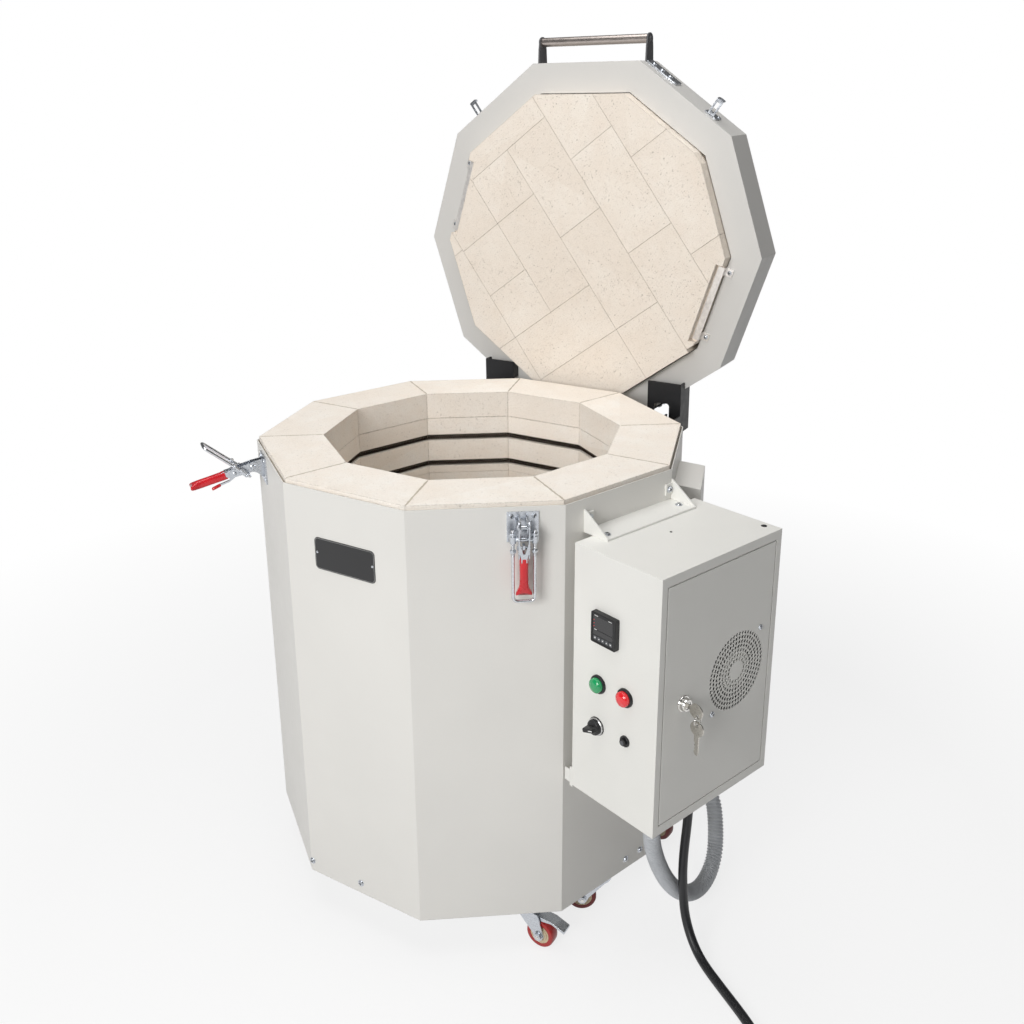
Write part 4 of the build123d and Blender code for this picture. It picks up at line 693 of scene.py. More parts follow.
def ribbed_hose(points, pitch, outer, root, cuff, sides):
    """A tube with a spiral rib, plain at its two cuffs."""
    count = len(points)
    step = length_of(points) / (count - 1)
    verts = []
    for i, place in enumerate(sections(points)):
        here = step * i
        plain = here < cuff or here > step * (count - 1) - cuff
        for k, a in enumerate(turns(sides)):
            wave = 0.5 + 0.5 * cos(2 * pi * (here / pitch + k / sides))
            r = outer if plain else root + (outer - root) * min(1, 1.5 * wave ** 1.2)
            verts.append(around(place, r, a))
    return verts, bands(count, sides)


def conduit():
    points = line_of([BOX @ Vector(p) for p in CONDUIT_ROUTE])
    close = spaced([BOX.inverted() @ p for p in points], 0.95)
    hose = Piece("conduit_hose", "kiln", BOX)
    hose.add(ribbed_hose(close, 5.7, 14, 12.3, 16, 24), HOSE)
    obj = hose.done("conduit_skin", "conduit", sharp=180)


def coil_points():
    """Control points of the coil's half turns, in on the floor, up one layer and out again."""
    end, before = Vector(CABLE_ROUTE[-1]), Vector(CABLE_ROUTE[-2])
    along = (end - before).normalized()
    across = Vector((along.y, -along.x, 0))
    here = end + along * 15
    points = [here]
    for i, radius in enumerate(COIL_RADII):
        reach = radius * (1 if i % 2 == 0 else -1)
        rise = 15.8 if i == 3 else 0
        centre = here + across * reach
        for n in range(1, HALF_TURN_POINTS + 1):
            a = pi * n / HALF_TURN_POINTS
            lift = Vector((0, 0, rise * (1 - cos(a)) / 2))
            points.append(centre - across * (reach * cos(a)) + along * (reach * sin(a)) + lift)
        here = here + across * (2 * reach) + Vector((0, 0, rise))
    end = here + along * 98
    return points + [here + along * 50, end], along, end


def mains_plug(along, end):
    """A round industrial plug with a ribbed grip, a collar and pins."""
    up = Vector((0, 0, 1))
    side = along.cross(up)
    turn = Matrix((up, side, along)).transposed().to_4x4()
    plug = Piece("supply_plug", "kiln", kiln() @ Matrix.Translation(end) @ turn)
    grip = [(7.6, 0), (11, 0), (12.5, 1.5)]
    for i in range(6):
        low, root, crest = 4 + 6 * i, 13 + i * 0.6, 14.2 + i * 0.55
        grip += [(root, low), (crest, low + 1.2), (crest, low + 3.6), (13 + (i + 0.8) * 0.6, low + 4.8)]
    grip += [(17, 42), (17, 45), (22.6, 47), (23.3, 49), (23.3, 89), (22.4, 91.6), (20.4, 92)]
    grip += [(20.2, 57), (0, 57)]
    plug.add(lathe(grip, 48), PLUG)
    plug.add(lathe([(7.6, 0), (11, 0), (10.4, -6), (8.6, -9), (7.6, -9)], 32), BLACK)
    pin = lathe([(0, 57), (2.6, 57), (2.6, 86), (1.8, 88), (0, 88)], 16)
    for angle in (0, 90, 180, 270):
        plug.add(pin, ZINC, spin(angle, "Z") @ shift(11, 0, 0))
    plug.add(box((19.8, 23.2), (-3, 3), (60, 80)), PLUG, spin(180, "Z"))
    return plug.done("plug_body", "mains_plug")


def strain_relief():
    x, y, _ = CABLE_ROUTE[0]
    boot = Piece("lead_strain_relief", "kiln", kiln() @ shift(x, y, 0))
    profile = [(7.6, 300), (11.2, 300), (11.2, 294)]
    for i in range(7):
        low, crest = 293 - 5.2 * i, 11 - 0.42 * i
        profile += [(crest, low), (crest, low - 2.8), (crest - 1, low - 3.4), (crest - 1, low - 4.8)]
    profile += [(8.2, 256), (7.6, 256)]
    boot.add(lathe(profile[::-1], 32), BLACK)
    boot.done("black_plastic")


def mains_lead():
    coil, along, end = coil_points()
    route = [kiln() @ p for p in [Vector(p) for p in CABLE_ROUTE] + coil]
    sheath = nurbs("mains_lead", route)
    sheath.bevel_depth = CABLE_RADIUS
    sheath.bevel_resolution = 6
    sheath.use_fill_caps = True
    sheath.materials.append(RUBBER)
    lead = put("mains_lead", sheath)
    plug = mains_plug(along, end)
    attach(lead, "kiln")
    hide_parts("mains_cable", "mains_coil")
    length_of(line_of(route))


conduit()
mains_lead()
strain_relief()


# Stage and light


def stage():
    """A pale floor that fades into white away from the kiln."""
    n = Nodes("floor_pale")
    n.set(Base_Color=tone(214, 214, 214), Roughness=0.9, Specular_IOR_Level=0)
    place = n.new("NewGeometry", "Position")
    away = n.range(n.new("VectorMath", "Value", {0: place}, operation="LENGTH"), 0.9, 2, 0, 1)
    glow = n.new("Emission", 0, {"Strength": n.range(away, 0, 1, 1.06, 1)})
    path = n.new("LightPath").outputs
    seen = n.math("MAXIMUM", path["Is Camera Ray"], path["Is Glossy Ray"])
    seen = n.math("MAXIMUM", seen, path["Is Transmission Ray"])
    share = n.math("MULTIPLY", seen, n.range(away, 0, 1, 0.74, 1))
    blend = n.new("MixShader", 0, {"Fac": share, 1: n.shader.outputs["BSDF"], 2: glow})
    n.tree.links.new(blend, n.tree.nodes["Material Output"].inputs["Surface"])
    mesh = bpy.data.meshes.new("floor")
    mesh.from_pydata([(-6, -6, 0), (6, -6, 0), (6, 6, 0), (-6, 6, 0)], [], [(0, 1, 2, 3)])
    mesh.materials.append(n.material)
    put("floor", mesh)


def world(level):
    """White to the camera, while the kiln is lit by a grey of the given level."""
    studio = bpy.data.worlds.new("studio")
    bpy.context.scene.world = studio
    studio.use_nodes = True
    tree = studio.node_tree
    tree.nodes.clear()
    lit = add_node(tree, "Background", 0, {"Color": (1, 1, 1, 1), "Strength": level})
    white = add_node(tree, "Background", 0, {"Color": (1, 1, 1, 1)})
    path = add_node(tree, "LightPath").outputs
    seen = {0: path["Is Camera Ray"], 1: path["Is Transmission Ray"]}
    seen = add_node(tree, "Math", 0, seen, operation="MAXIMUM")
    blend = add_node(tree, "MixShader", 0, {"Fac": seen, 1: lit, 2: white})
    add_node(tree, "OutputWorld", None, {"Surface": blend})


def lamp(name, place, aim, size, power):
    data = bpy.data.lights.new(name, "AREA")
    data.shape = "SQUARE"
    data.size = size
    data.energy = power
    obj = put(name, data)
    obj.location = place
    obj.rotation_euler = (Vector(aim) - Vector(place)).to_track_quat("-Z", "Y").to_euler()


stage()
world(0.135)
lamp("key", (0.1, -3.5, 1.9), (0, 0, 0.7), 1.5, 80)
lamp("overhead", (0, -0.3, 3.6), (0, 0, 0.7), 2.4, 58)


# Name plate, left bare


def name_plate():
    plate = Piece("name_plate", "kiln", on_panel(FRONT_PANEL, CASE_R, 0, RIM_Z - 102))
    plate.add(slab(rounded(52, 115, 7), 0, 1), PLATE)
    outer, inner = rounded(49.6, 112.6, 6), rounded(48.8, 111.8, 5.6)
    plate.add((at(outer + inner, 1.04), bands(2, len(outer))), RULE)
    for t in (-53, 53):
        plate.add(lathe([(2, 1), (1.8, 1.5), (1, 1.9), (0, 2)], 20), ZINC, shift(-1.5, t, 0))
    plate.done("black_coat")


name_plate()


# Screws


def pan_head(piece, local, radius=4.5, high=2.8, washer=True):
    """A domed head with a cross recess, on a washer."""
    low = 0.7 if washer else 0
    if washer:
        piece.add(lathe(rod(radius * 1.32, 0, low), 24), ZINC, local)
    dome = [(0, low), (radius, low), (radius, low + 0.8), (radius * 0.86, low + 1.7)]
    dome += [(radius * 0.55, high - 0.25), (0, high)]
    piece.add(lathe(dome, 24), ZINC, local)
    arm, half = radius * 0.55, radius * 0.13
    recess = box((-arm, arm), (-half, half), (high - 0.9, high + 0.02))
    for turn in (20, 110):
        piece.add(recess, BLACK, local @ spin(turn, "Z"))


def casing_screws():
    heads = Piece("casing_screws", "kiln", Matrix.Identity(4))
    tray_rows = ((FRONT_PANEL, (-112, -6)), (BOX_PANEL, (36, 72)), (162, (-36, -72)), (90, (-6, 106)))
    for azimuth, places in tray_rows:
        for t in places:
            pan_head(heads, on_panel(azimuth, CASE_R, t, TRAY_SCREW_Z))
    for t in (-68, 108):
        pan_head(heads, on_panel(BOX_PANEL, CASE_R + 3, t, BOX_TOP + 21))
    for x, t in ((BOX_IN + 15, -64), (BOX_IN + 7, 104)):
        pan_head(heads, BOX @ shift(x, t, BOX_TOP + 3))
    heads.done("zinc_fixings", "body_screws")


def lid_screws():
    heads = Piece("lid_screw_heads", "lid", opened())
    for azimuth in (18, 198):
        for t in (-66, 66):
            place = spin(azimuth, "Z") @ shift(298.9, t, LID_LOW - 2) @ spin(180, "X")
            pan_head(heads, place, 4.2, washer=False)
    for i in range(3):
        for way, azimuth in SIDES:
            place = facing(LID_R + 3, way * (14 + 20 * i - LID_CORNER), LID_MIDDLE)
            pan_head(heads, spin(azimuth, "Z") @ place, 4.2)
    heads.done("zinc_fixings", "lid_screws")


casing_screws()
lid_screws()


# Box door with its fan grille


def grille_holes(pitch=6.9):
    """Seven rings of round holes, every other ring half a hole further on."""
    holes = []
    for ring in range(7):
        radius = 18 + pitch * ring
        count = round(2 * pi * radius / pitch)
        for a in turns(count, pi / count * (ring % 2)):
            x, y = FAN_T + radius * cos(a), FAN_Z + radius * sin(a)
            holes.append(circle(2.95, 8, x, y, degrees(a) + 22.5))
    return holes


def door():
    t, z, sheet = (-101, 137), (345.5, 719.5), 1.5
    piece = Piece("door_leaf", "door", BOX)
    lock = circle(9.5, 32, LOCK_T, LOCK_Z)
    leaf = pierced(rectangle(t, z), grille_holes() + [lock], BOX_OUT - sheet, BOX_OUT)
    piece.add(moved(YZX, leaf), COAT_BOX)
    x = (BOX_OUT - 18, BOX_OUT - sheet)
    for side in ((t[0], t[0] + sheet), (t[1] - sheet, t[1])):
        piece.add(box(x, side, z), COAT_BOX)
    for end in ((z[0], z[0] + sheet), (z[1] - sheet, z[1])):
        piece.add(box(x, (t[0] + sheet, t[1] - sheet), end), COAT_BOX)
    for end in z:
        piece.add(lathe(rod(1.75, end - 3, end + 3), 12), ZINC, shift(536, 134, 0))
    piece.done("casing_sheet", "box_door")
    label = Piece("fan_label", "fan", on_door(FAN_T, FAN_Z))
    label.add(lathe(rod(31, -3.45, -3), 48), LABEL)
    label.add(lathe([(0, -3), (11, -3), (11, -2.6), (0, -2.5)], 32), SILVER)
    label.done("zinc_fixings")


door()


# Lock, keys and fan screws


KEY_BOW = 11.6
KEY_HOLE = 2.6


def key_shape(bow_x, half, hole):
    """A flat key along local X, with a drilled bow and a toothed blade on its far side."""
    tip = bow_x + 42
    gap = degrees(asin(half / KEY_BOW))
    outline = arc(bow_x, 0, KEY_BOW, KEY_BOW, [gap + (360 - 2 * gap) * i / 28 for i in range(29)])
    length = tip - bow_x - KEY_BOW
    depths = (0, 0.5, 0.15, 0.6, 0.2, 0.45, 0)
    for i, depth in enumerate(depths):
        along = KEY_BOW + length * (0.3 + 0.62 * i / len(depths))
        outline.append((bow_x + along, -half * (1 - depth)))
    outline += [(tip, -half * 0.2), (tip, half * 0.6), (tip - 2, half)]
    return pierced(outline, [circle(KEY_HOLE, 16, hole, 0)], -1, 1)


def door_lock():
    place = on_door(LOCK_T, LOCK_Z)
    barrel = Piece("lock_barrel", "door", place)
    rim = [(6.05, -21), (9.4, -21), (9.4, 0), (12.3, 0), (12.3, 1.2), (11.6, 2.2), (10, 2.4)]
    rim += [(9.5, 7.6), (8.7, 9), (6.05, 9)]
    barrel.add(lathe(rim, 48), CHROME)
    barrel.add(nut(13.5, 3.5), ZINC, shift(0, 0, -6))
    for way in (1, -1):
        screw = on_door(FAN_T + way * 52.5, FAN_Z + way * 52.5)
        pan_head(barrel, place.inverted() @ screw, 4.5, 2.6, washer=False)
    barrel.done("bright_plate", "door_fixings")
    key = Piece("key_in_lock", "lock", place)
    key.add(lathe([(0, -21.5), (6, -21.5), (6, 8.2), (5.2, 8.8), (0, 8.8)], 32), CHROME)
    key.add(box((-8, 49), (-7, 7), (-24, -21.5)), ZINC)
    bow = pierced(circle(KEY_BOW, 30, 2, -24), [circle(KEY_HOLE, 16, 8, -27)], -1, 1)
    key.add(bow, KEY, spin(-90, "X"))
    key.add(box((-3.6, 3.6), (-1, 1), (2, 14)), KEY)
    key.done("bright_plate", "lock_key", bevel=0.35)


def spare_key():
    """A split ring of two turns of wire through the holes of both keys."""
    spare = Piece("second_key", "spare", on_door(LOCK_T, LOCK_Z))
    wire, level, ring_r = 0.8, 27, 7
    ring_x = 8 + KEY_HOLE + ring_r - 2 * wire
    for lift in (-0.42, 0.42):
        ring = [(x, y, level + lift) for x, y in circle(ring_r, 40, ring_x)]
        spare.add(pipe(ring, 0.5, 8, closed=True), CHROME)
    hole = ring_x + ring_r + 2 * wire - KEY_HOLE
    spare.add(key_shape(hole + 9 - KEY_HOLE, 3.9, hole), KEY, shift(0, 0, level) @ Y_UP)
    spare.done("bright_plate", "spare_key", bevel=0.3)


door_lock()
spare_key()


# Instruments on the control face


def controller_unit():
    unit = Piece("controller_unit", "kiln", on_face(*CONTROLLER_AT))
    unit.add(box((-22.3, 22.3), (-22.3, 22.3), (-80, 0.4)), BLACK)
    outer, inner, floor = rounded(48, 48, 2.5), rounded(46.6, 46.6, 2), rounded(43, 43, 1.2)
    unit.add(lofted([at(outer, 0), at(outer, 8.2), at(inner, 9), at(floor, 9), at(floor, 8.3)]), BLACK)
    unit.add(slab(beside(rounded(38, 21, 1.2), 0, 8.5), 8.25, 8.55), DISPLAY)
    unit.add(slab(beside(rounded(38, 7.5, 1), 0, -6.8), 8.25, 8.5), DISPLAY)
    for x, y in (((-17, -10), (19.1, 20.1)), ((-17, -12), (-2.9, -1.9)), ((10, 17), (19.2, 20))):
        unit.add(box(x, y, (8.3, 8.62)), WHITE_MARK)
    marks = (circle(1.3, 16), [(1.1, -1.2), (1.1, 1.2), (-1.3, 0)], [(-1.4, 0.9), (0, -1.3), (1.4, 0.9)],
             [(-1.4, -0.9), (1.4, -0.9), (0, 1.3)], rectangle((-1.1, 1.1), (-1.1, 1.1)))
    for i, mark in enumerate(marks):
        x = -15.2 + 7.6 * i
        unit.add(slab(beside(rounded(6, 6.2, 1.4), x, -15.6), 8.25, 8.7), DARK_GREY)
        unit.add(slab(beside(mark, x, -15.6), 8.7, 8.78), WHITE_MARK)
    for y in (2, 7, 12):
        unit.add(lathe(rod(0.75, 8.25, 8.6), 12), RED_LENS, shift(-17.8, y, 0))
    unit.done("black_plastic", "controller", bevel=0.15)


def knurled(radius, depth, count, low, high):
    """A knurled button cap, its top edge drawn in by 1 mm."""
    rings = []
    for z, inset in ((low, 0), (high - 1, 0), (high, 1)):
        ring = []
        for i, a in enumerate(turns(count * 4)):
            r = radius - inset - (depth if i % 4 in (2, 3) else 0)
            ring.append((r * cos(a), r * sin(a), z))
        rings.append(ring)
    return lofted(rings)


def lamps():
    bodies = Piece("instrument_bodies", "kiln", on_face(0, 0))
    lenses = Piece("lamp_domes", "kiln", on_face(0, 0))
    bezel = [(0, -42), (11, -42), (11, 0), (14.4, 0), (14.4, 2.6), (13.6, 3.8), (12, 4.2)]
    bezel += [(11.6, 4), (11.6, 3), (0, 3)]
    dome = [(11.4, 3), (11.4, 8.2), (10.9, 9.3), (9.8, 9.9), (9.3, 9.7), (8.8, 10.2)]
    dome += [(6.5, 11.3), (3.2, 11.9), (0, 12)]
    for place, lens in zip(LAMPS_AT, (GREEN_LENS, RED_LENS)):
        bodies.add(lathe(bezel, 48), BLACK, shift(*place, 0))
        lenses.add(lathe(dome, 48), lens, shift(*place, 0))
    selector = shift(*SELECTOR_AT, 0)
    ring = [(3.05, -14), (11, -14), (11, 0), (14.4, 0), (14.4, 1.2), (13.9, 1.6), (3.05, 1.6)]
    bodies.add(lathe(ring, 48), BLACK, selector)
    bodies.add(lathe([(3.1, 1.6), (13.6, 1.6), (13.6, 3.4), (12.9, 4), (3.1, 4)], 48), SILVER, selector)
    bodies.add(lathe(rod(11, -42, -16.2), 32), BLACK, selector)
    small = [(5.5, -18), (6.9, -18), (6.9, 0), (8.6, 0), (8.6, 2.2), (7.9, 3), (5.5, 3)]
    bodies.add(lathe(small, 40), BLACK, shift(*BUTTON_AT, 0))
    bodies.done("black_plastic", "switch_bodies")
    lenses.done("lamp_lens", "lamp_lenses")


def selector_and_button():
    knob = Piece("selector_grip", "selector", on_face(*SELECTOR_AT) @ spin(20, "Z"))
    knob.add(lathe([(0, 4.5), (12, 4.5), (12, 7.4), (11.2, 8.8), (10.2, 9.4), (0, 9.4)], 48), BLACK)
    grip = ((9.2, 11, 4.4), (14, 11, 3.9), (18.6, 10.8, 3.5), (20.2, 10.2, 2.8))
    knob.add(lofted([at(rounded(2 * x, 2 * y, y * 0.55), z) for z, x, y in grip]), BLACK)
    knob.add(box((2, 10), (-0.75, 0.75), (20, 20.35)), WHITE_MARK)
    knob.add(lathe(rod(2.9, -14, 4.6), 16), BLACK)
    knob.done("black_plastic", "selector_knob")
    cap = Piece("button_cap", "button", on_face(*BUTTON_AT))
    cap.add(knurled(5.4, 0.35, 16, -14, 7.5), BLACK)
    cap.add(lathe([(0, 7.4), (3.4, 7.4), (3.4, 7.7), (0, 7.5)], 24), DARK_GREY)
    cap.done("black_plastic", "push_button")


def box_plugs():
    """Blind plugs on the control box's top, each x, t and radius."""
    plugs = Piece("box_plugs", "kiln", BOX)
    for x, t, r in ((515.1, 138, 3.4), (438.7, 17.7, 0.9)):
        dome = [(r + 1.2, 0), (r + 1, 0.5), (r, 0.9), (r * 0.5, 1.2), (0, 1.3)]
        plugs.add(lathe(dome, 24), BLACK, shift(x, t, BOX_TOP))
    plugs.done("black_plastic")


controller_unit()
lamps()
selector_and_button()
box_plugs()


# Toggle clamps


LOOP_HALF = 15.75
HOLE_HALF = 16.5


def swung(z, angle):
    """A turn about an axis along Y at the lever's distance from the kiln."""
    return shift(PIVOT_X, 0, z) @ spin(-angle, "Y") @ shift(-PIVOT_X, 0, -z)


def clamp_places(way, azimuth):
    """Where a clamp's plate, lever and loop stand: the left lever is thrown back with its loop."""
    base = panel(azimuth) @ shift(0, way * CLAMP_SIDE, 0)
    if way > 0:
        return base, base, base
    lever = base @ swung(PIVOT_Z, 77)
    return base, lever, lever @ swung(PIVOT_Z - BAR_DROP, 53)


def grip_rings(x, z):
    """The dipped grip, flared into a concave fishtail at its end."""
    rings = []
    profile = ((-42, 4.6, 5.4), (-43.5, 6, 7), (-48, 6.4, 7.4), (-70, 6.2, 7.2), (-86, 6.4, 7.2))
    profile += ((-92, 7.4, 7), (-96.5, 9.4, 6.4), (-100.5, 11.6, 5.6), (-103.5, 12.2, 5), (-105, 11.2, 4.2))
    for drop, half_y, half_x in profile:
        hollow = 5.2 * max(0, min(1, (-drop - 90) / 15))
        ring = []
        for a in turns(28):
            px = half_x * copysign(abs(cos(a)) ** 0.75, cos(a))
            py = half_y * copysign(abs(sin(a)) ** 0.75, sin(a))
            ring.append((x + px, py, z + drop + hollow * (1 - (py / half_y) ** 2)))
        rings.append(ring)
    return rings


def clamp_lever(side, place):
    x, z = PIVOT_X, PIVOT_Z
    lever = Piece(f"{side}_lever_arm", f"{side}_lever", place)
    cheek = [(-6, -40), (6.5, -40), (7.6, -24), (8, 2)]
    cheek += arc(0, 2, 8, 7.5, range(15, 180, 15)) + [(-8, 1), (-7, -22)]
    for low in (6.3, -8.3):
        lever.add(plate_xz(beside(cheek, x, z), low, low + 2), ZINC)
    web = [(-8.3, -24), (-8.3, -31), (-4.4, -46), (4.4, -46), (8.3, -31), (8.3, -24)]
    web += [(5.6, -24), (1.4, -38), (-1.4, -38), (-5.6, -24)]
    lever.add(plate_yz(beside(web, 0, z), x + 5.2, x + 7.4), ZINC)
    lever.add(plate_yz(rectangle((-4.4, 4.4), (z - 52, z - 38)), x + 3.4, x + 7), ZINC)
    flank = [(-6, -40), (-1, -46), (6.8, -46), (6.5, -40)]
    for low in (-8.3, 6.3):
        lever.add(plate_xz(beside(flank, x, z), low, low + 2), ZINC)
    for height, radius in ((0, 4.6), (-TRIGGER_DROP, 3.2)):
        dome = lathe([(radius, 0), (radius, 0.8), (radius * 0.7, 1.7), (0, 2.1)], 20)
        for y, turn in ((8.3, ALONG_Y), (-8.3, Y_UP)):
            lever.add(dome, ZINC, shift(x, y, z + height) @ turn)
    lever.add(lofted(grip_rings(x, z)), RED_GRIP)
    lever.done("zinc_fixings", f"{side}_clamp_lever", bevel=0.3)


def loop_path(reach, x, z):
    """One leg's tail, down, round the bottom and up the other leg."""
    corner = 7
    end = z - reach + 2.5
    leg = [(LOOP_HALF, z + 15), (LOOP_HALF, end + corner + 20)]
    leg += arc(LOOP_HALF - corner, end + corner, corner, -corner, range(0, 91, 15))
    return [(x, y, h) for y, h in leg] + [(x, -y, h) for y, h in leg[::-1]]


def clamp_bolt(side, place, reach):
    x, z = PIVOT_X, PIVOT_Z - BAR_DROP
    bolt = Piece(f"{side}_loop", f"{side}_bolt", place)
    bolt.add(pipe(loop_path(reach, x, z), 2.5, 14), CHROME_WIRE)
    bar = both_ends((0, 20), (2.4, 20), (3, 19.2))
    bolt.add(lathe(bar, 24), ZINC, shift(x, 0, z) @ ALONG_Y)
    thread = []
    for i in range(29):
        low = z - 26 + i * 1.35
        thread += [(2.52, low), (2.78, low + 0.35), (2.78, low + 0.6), (2.52, low + 0.95)]
    for y in (-LOOP_HALF, LOOP_HALF):
        bolt.add(lathe(both_ends((2.5, 5.2), (4.6, 5.2)), 20), ZINC, shift(x, y, z))
        for rise in (6, -20):
            bolt.add(nut(5, 4), ZINC, shift(x, y, z + rise))
        bolt.add(lathe(thread, 14), CHROME_WIRE, shift(x, y, 0))
    bolt.done("zinc_fixings", f"{side}_clamp_bolt")


def clamp_trigger(side, place):
    x, z = PIVOT_X, PIVOT_Z - TRIGGER_DROP
    trigger = Piece(f"{side}_release", f"{side}_trigger", place)
    plate = [(-15, -30), (-12, -30), (-10.5, -11), (2, -3), (2, 4), (-7, 4), (-13.5, -12)]
    trigger.add(plate_xz(beside(plate, x, z), -1.8, 1.8), ZINC)
    trigger.add(lathe(rod(2, -9, 9), 16), ZINC, shift(x, 0, z) @ ALONG_Y)
    rings = []
    for along, radius in ((0, 2), (1, 2.7), (8, 2.8), (14, 2.7), (15.4, 1.8)):
        middle = x - 13.5 - 2.5 * along / 15.2
        rings.append([(middle + radius * cos(a), -radius * sin(a), z - 27 - along) for a in turns(18)])
    trigger.add(lofted(rings), RED_GRIP)
    trigger.done("zinc_fixings", f"{side}_clamp_trigger", bevel=0.25)


def toggle_clamps():
    heads = Piece("clamp_screws", "kiln", Matrix.Identity(4))
    for (way, azimuth), side, reach in zip(SIDES, ("right", "left"), (99, 79)):
        base, lever, loop = clamp_places(way, azimuth)
        clamp_lever(side, lever)
        clamp_bolt(side, loop, reach)
        clamp_trigger(side, lever)
        for y in (-HOLE_HALF, HOLE_HALF):
            for z in (-HOLE_HALF, HOLE_HALF):
                place = base @ facing(CASE_R + 2.5, y, RIM_Z - 30 + z)
                pan_head(heads, place, 3.8, 2.4, washer=False)
    heads.done("zinc_fixings")


toggle_clamps()


# Handle and lid fittings


def handle_ears():
    thick, reach = 3, -385
    ears = Piece("handle_ears", "lid", opened())
    outline = [(-342, -16), (-342, 16), (-372, 14)]
    outline += arc(reach, 0, 10.3, 12.5, range(75, 286, 15)) + [(-372, -14)]
    for way, azimuth in SIDES:
        outer = way * (LID_CORNER + thick)
        low, high = sorted((way * LID_CORNER, outer))
        ears.add(plate_yz(beside(outline, 0, LID_MIDDLE), low, high), EARS)
        for radius, out in ((6, 0.8), (4.4, 2.6)):
            dome = [(radius, 0), (radius, out * 0.6), (radius * 0.6, out), (0, out * 1.05)]
            ears.add(lathe(dome, 24), EARS, shift(outer, reach, LID_MIDDLE) @ spin(90 * way, "Y"))
        strap = beside(rounded(75, 30, 4), way * (37.5 - LID_CORNER), LID_MIDDLE)
        ears.add(plate_yz(strap, LID_R, LID_R + thick), ZINC, spin(azimuth, "Z"))
    ears.done("grey_coat", "handle_brackets", bevel=0.4)


handle_ears()


# Castor wheels and axle nuts


# Each castor's azimuth, distance from the axis, and the way its wheel trails
CASTORS = ((-43, 328, 0), (-137, 328, 120), (-18, 325, 210), (22, 326, -5), (118, 326, 100))
TRAIL = 28
WHEEL_R = 25


def castor_place(azimuth, distance, trail):
    """Local +Z along the wheel's axle."""
    a = radians(azimuth)
    stem = shift(distance * cos(a), distance * sin(a), 0)
    return kiln() @ stem @ spin(trail, "Z") @ shift(TRAIL, 0, WHEEL_R) @ ALONG_Y


def castor_wheel(number, place):
    wheel = Piece(f"wheel_{number}", f"wheel_{number}", place)
    nuts = Piece(f"axle_nuts_{number}", f"fork_{number}", place)
    tyre = both_ends((17, 9.2), (21.5, 10), (23.6, 9.2), (24.7, 7), (WHEEL_R, 3))
    # Castors 3 to 5 take the darkened red, painted shade under the kiln.
    wheel.add(lathe(tyre, 56), TYRE if number in (1, 2) else TYRE_SHADED)
    face = [(17.2, 9.2), (16.4, 8.6), (15.6, 7.6), (13, 7.4), (12.4, 9), (9.6, 9.4), (9, 10.6), (4.1, 10.6)]
    for turn in (spin(0, "X"), spin(180, "X")):
        wheel.add(lathe(face, 56), HUB, turn)
        wheel.add(lathe([(8.4, 10.65), (8, 11), (5.2, 11), (4.1, 10.8)], 40), ZINC, turn)
        nuts.add(lathe(rod(8.2, 14, 15), 28), ZINC, turn)
        nuts.add(nut(7, 3.4), ZINC, turn @ shift(0, 0, 15))
        nuts.add(lathe([(0, 18.3), (3.4, 18.3), (3.1, 19.2), (0, 19.2)], 20), CHROME, turn)
    wheel.done("wheel_tyre", f"castor_wheel_{number}")
    nuts.done("zinc_fixings")


for i, castor in enumerate(CASTORS, 1):
    castor_wheel(i, castor_place(*castor))


# Wound heating elements


TAIL_GAP = 3


def compass(angle):
    """The direction out from the axis at an angle in radians, and the one along a wall there."""
    return Vector((cos(angle), sin(angle), 0)), Vector((-sin(angle), cos(angle), 0))


def element_line(apothem, corner, step):
    """Points and outward directions round the chamber, from one side of the terminal panel to the other."""
    half = (apothem - corner) * tan(HALF)
    start = radians(COVER_PANEL)
    line = []

    def straight(out, along, low, high, last=0):
        count = max(2, round((high - low) / step))
        for i in range(count + last):
            line.append((out * apothem + along * (low + (high - low) * i / count), out))

    for side in range(10):
        azimuth = start + 2 * HALF * side
        out, along = compass(azimuth)
        straight(out, along, -half if side else TAIL_GAP, half)
        centre = out * (apothem - corner) + along * half
        steps = max(3, round(corner * 2 * HALF / step))
        for i in range(steps):
            turn, _ = compass(azimuth + 2 * HALF * i / steps)
            line.append((centre + turn * corner, turn))
    straight(*compass(start), -half, -TAIL_GAP, last=1)
    return line


def wound_elements():
    """One coil for each groove, all of one mesh, with their tails behind the wall."""
    pitch, wire, middle, steps = 3.7, 0.85, 253.5, 8
    radius = 5 - wire
    points = []
    for i, (place, out) in enumerate(element_line(middle, 14, pitch / steps)):
        a = 2 * pi * i / steps
        points.append(place + out * (radius * cos(a)) + Vector((0, 0, radius * sin(a))))
    rows = [743.5 - 114.5 * i - drop for i in range(4) for drop in (40, 94)]
    ring = Piece("element_coil_1", "kiln", kiln() @ shift(0, 0, rows[0] - 0.7))
    first = ring.add(pipe(points, wire, 5), COIL).done("element_wire", "heating_elements")
    for n, z in enumerate(rows[1:], 2):
        copy = put(f"element_coil_{n}", first.data)
        copy.location = (0, 0, (z - rows[0]) / 1000)
        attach(copy, "kiln")
    tails = Piece("element_tails", "kiln", panel(COVER_PANEL))
    for n, z in enumerate(rows):
        tails.add(pipe([(middle, 12, z), (middle + 40, 12, z), (378, 12, z)], 2.4, 10), COIL)
        tails.add(nut(5.5, 4), ZINC, facing(368, 12, z))
        if n % 2 == 0:
            tails.add(pipe([(middle, -12, z), (middle, -12, z - 27), (middle, -12, z - 54)], 2.4, 10), COIL)
    tails.done("element_wire")


wound_elements()


# Screws and split pins of the hinges


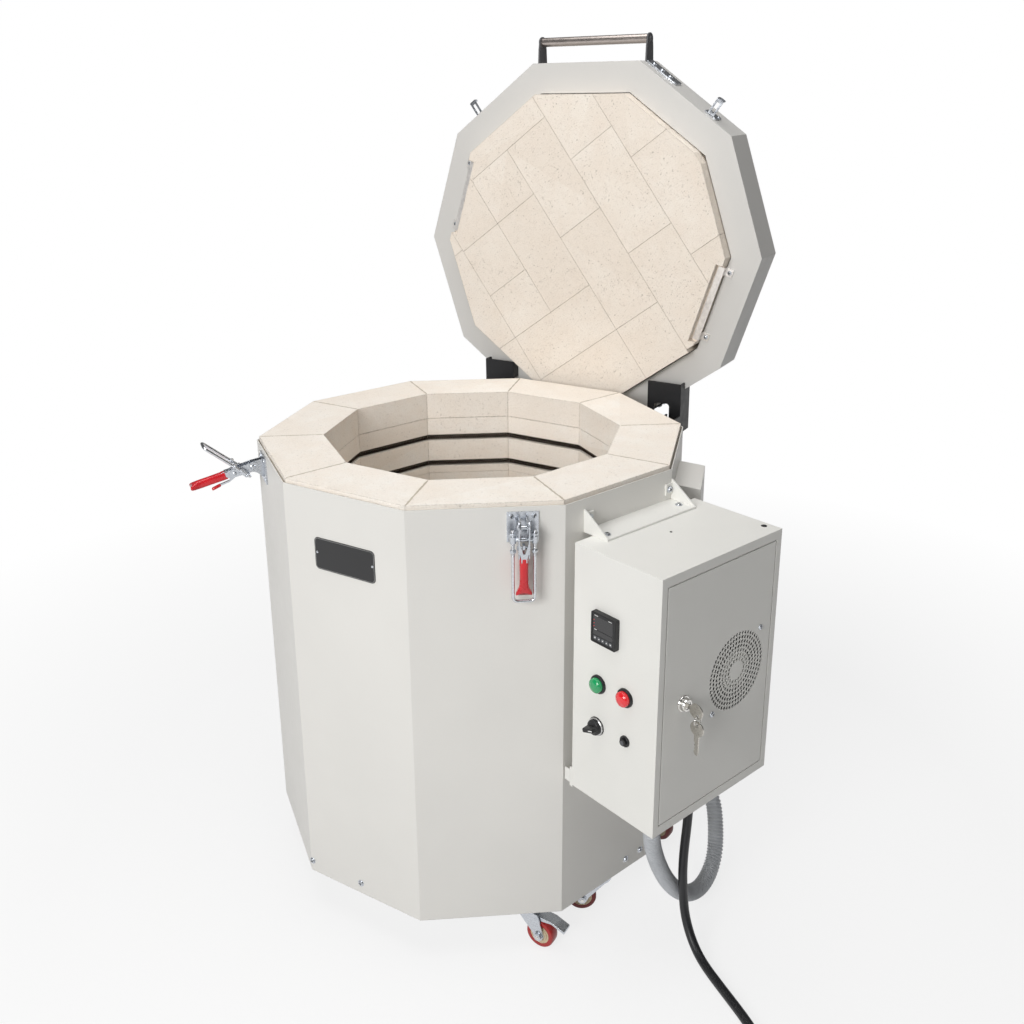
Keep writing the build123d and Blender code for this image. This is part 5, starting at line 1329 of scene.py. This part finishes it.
def hinge_screws():
    fixed = Piece("hinge_plate_screws", "kiln", Matrix.Identity(4))
    swinging = Piece("hinge_tab_screws", "lid", Matrix.Identity(4))
    for way, azimuth in HINGE_PANELS:
        for t, z in ((-54, -30), (-54, 10), (-36, -30), (2, -30), (2, 10)):
            pan_head(fixed, on_panel(azimuth, CASE_R + 4, way * t, HINGE_Z + z), 4.6, 3)
        for t in (6, 44):
            for z in (LID_LOW + 10, LID_LOW + 34):
                place = opened() @ spin(azimuth, "Z") @ facing(LID_R + 3, way * t, z)
                pan_head(swinging, place, 4.6, 3)
        clip = lathe(both_ends((5.1, 0.6), (7.4, 0.6)), 28)
        for x in (191, 230):
            fixed.add(clip, CHROME, kiln() @ facing(way * x, HINGE_Y, HINGE_Z))
    fixed.done("zinc_fixings")
    swinging.done("zinc_fixings")


hinge_screws()


# Keepers that the clamp loops pull on


def keeper_hooks():
    low = 837
    hooks = Piece("keeper_hooks", "lid", opened())
    arch = [(7, 0), (7, 8)] + arc(0, 8, 7, 6.5, range(15, 180, 15)) + [(-7, 8), (-7, 0)]
    window = [(3.4, 4), (3.4, 8.5), (0, 11), (-3.4, 8.5), (-3.4, 4)]
    eye = pierced(beside(arch, 0, low), [beside(window, 0, low)], 378, 380)
    for way, azimuth in SIDES:
        place = spin(azimuth, "Z") @ shift(0, way * CLAMP_SIDE, 0)
        base = beside(rounded(28, 29, 3), 0, low + 14.5)
        hooks.add(plate_yz(base, LID_R, LID_R + 2), ZINC, place)
        arm, slot = rectangle((LID_R + 1, 380), (-7, 7)), rectangle((352, 373), (-3.4, 3.4))
        hooks.add(pierced(arm, [slot], low, low + 2), ZINC, place)
        hooks.add(moved(YZX, eye), ZINC, place)
        for y in (-10, 10):
            pan_head(hooks, place @ facing(LID_R + 2, y, low + 22), 3.2, 2, washer=False)
    hooks.done("zinc_fixings", "keepers", bevel=0.3)


keeper_hooks()


# Cement in the rim's joints, and the tab beside the box


def rim_joints():
    """A ragged ribbon of cement across the rim at each corner."""
    joints = Piece("rim_joint_cement", "kiln", kiln())
    inner, outer, steps = RIM_INNER / cos(HALF) + 2, RIM_OUTER / cos(HALF) - 2, 26
    for corner in range(10):
        upper, lower = [], []
        for i in range(steps + 1):
            r = inner + (outer - inner) * i / steps
            upper.append((r, random.uniform(0.7, 2)))
            lower.append((r, -random.uniform(0.7, 2)))
        ribbon = slab(upper + lower[::-1], RIM_TOP - 3, RIM_TOP + 0.12)
        joints.add(ribbon, CEMENT, spin(36 * corner, "Z"))
    joints.done("fire_brick")


def box_tab():
    tab = Piece("box_tab", "kiln", BOX)
    for x, z in (((366.6, 372.6), (324, 358)), ((356, 368), (330, 352))):
        tab.add(box(x, (-113, -110), z), COAT_BOX)
    tab.done("grey_coat", bevel=0.6)


rim_joints()
box_tab()
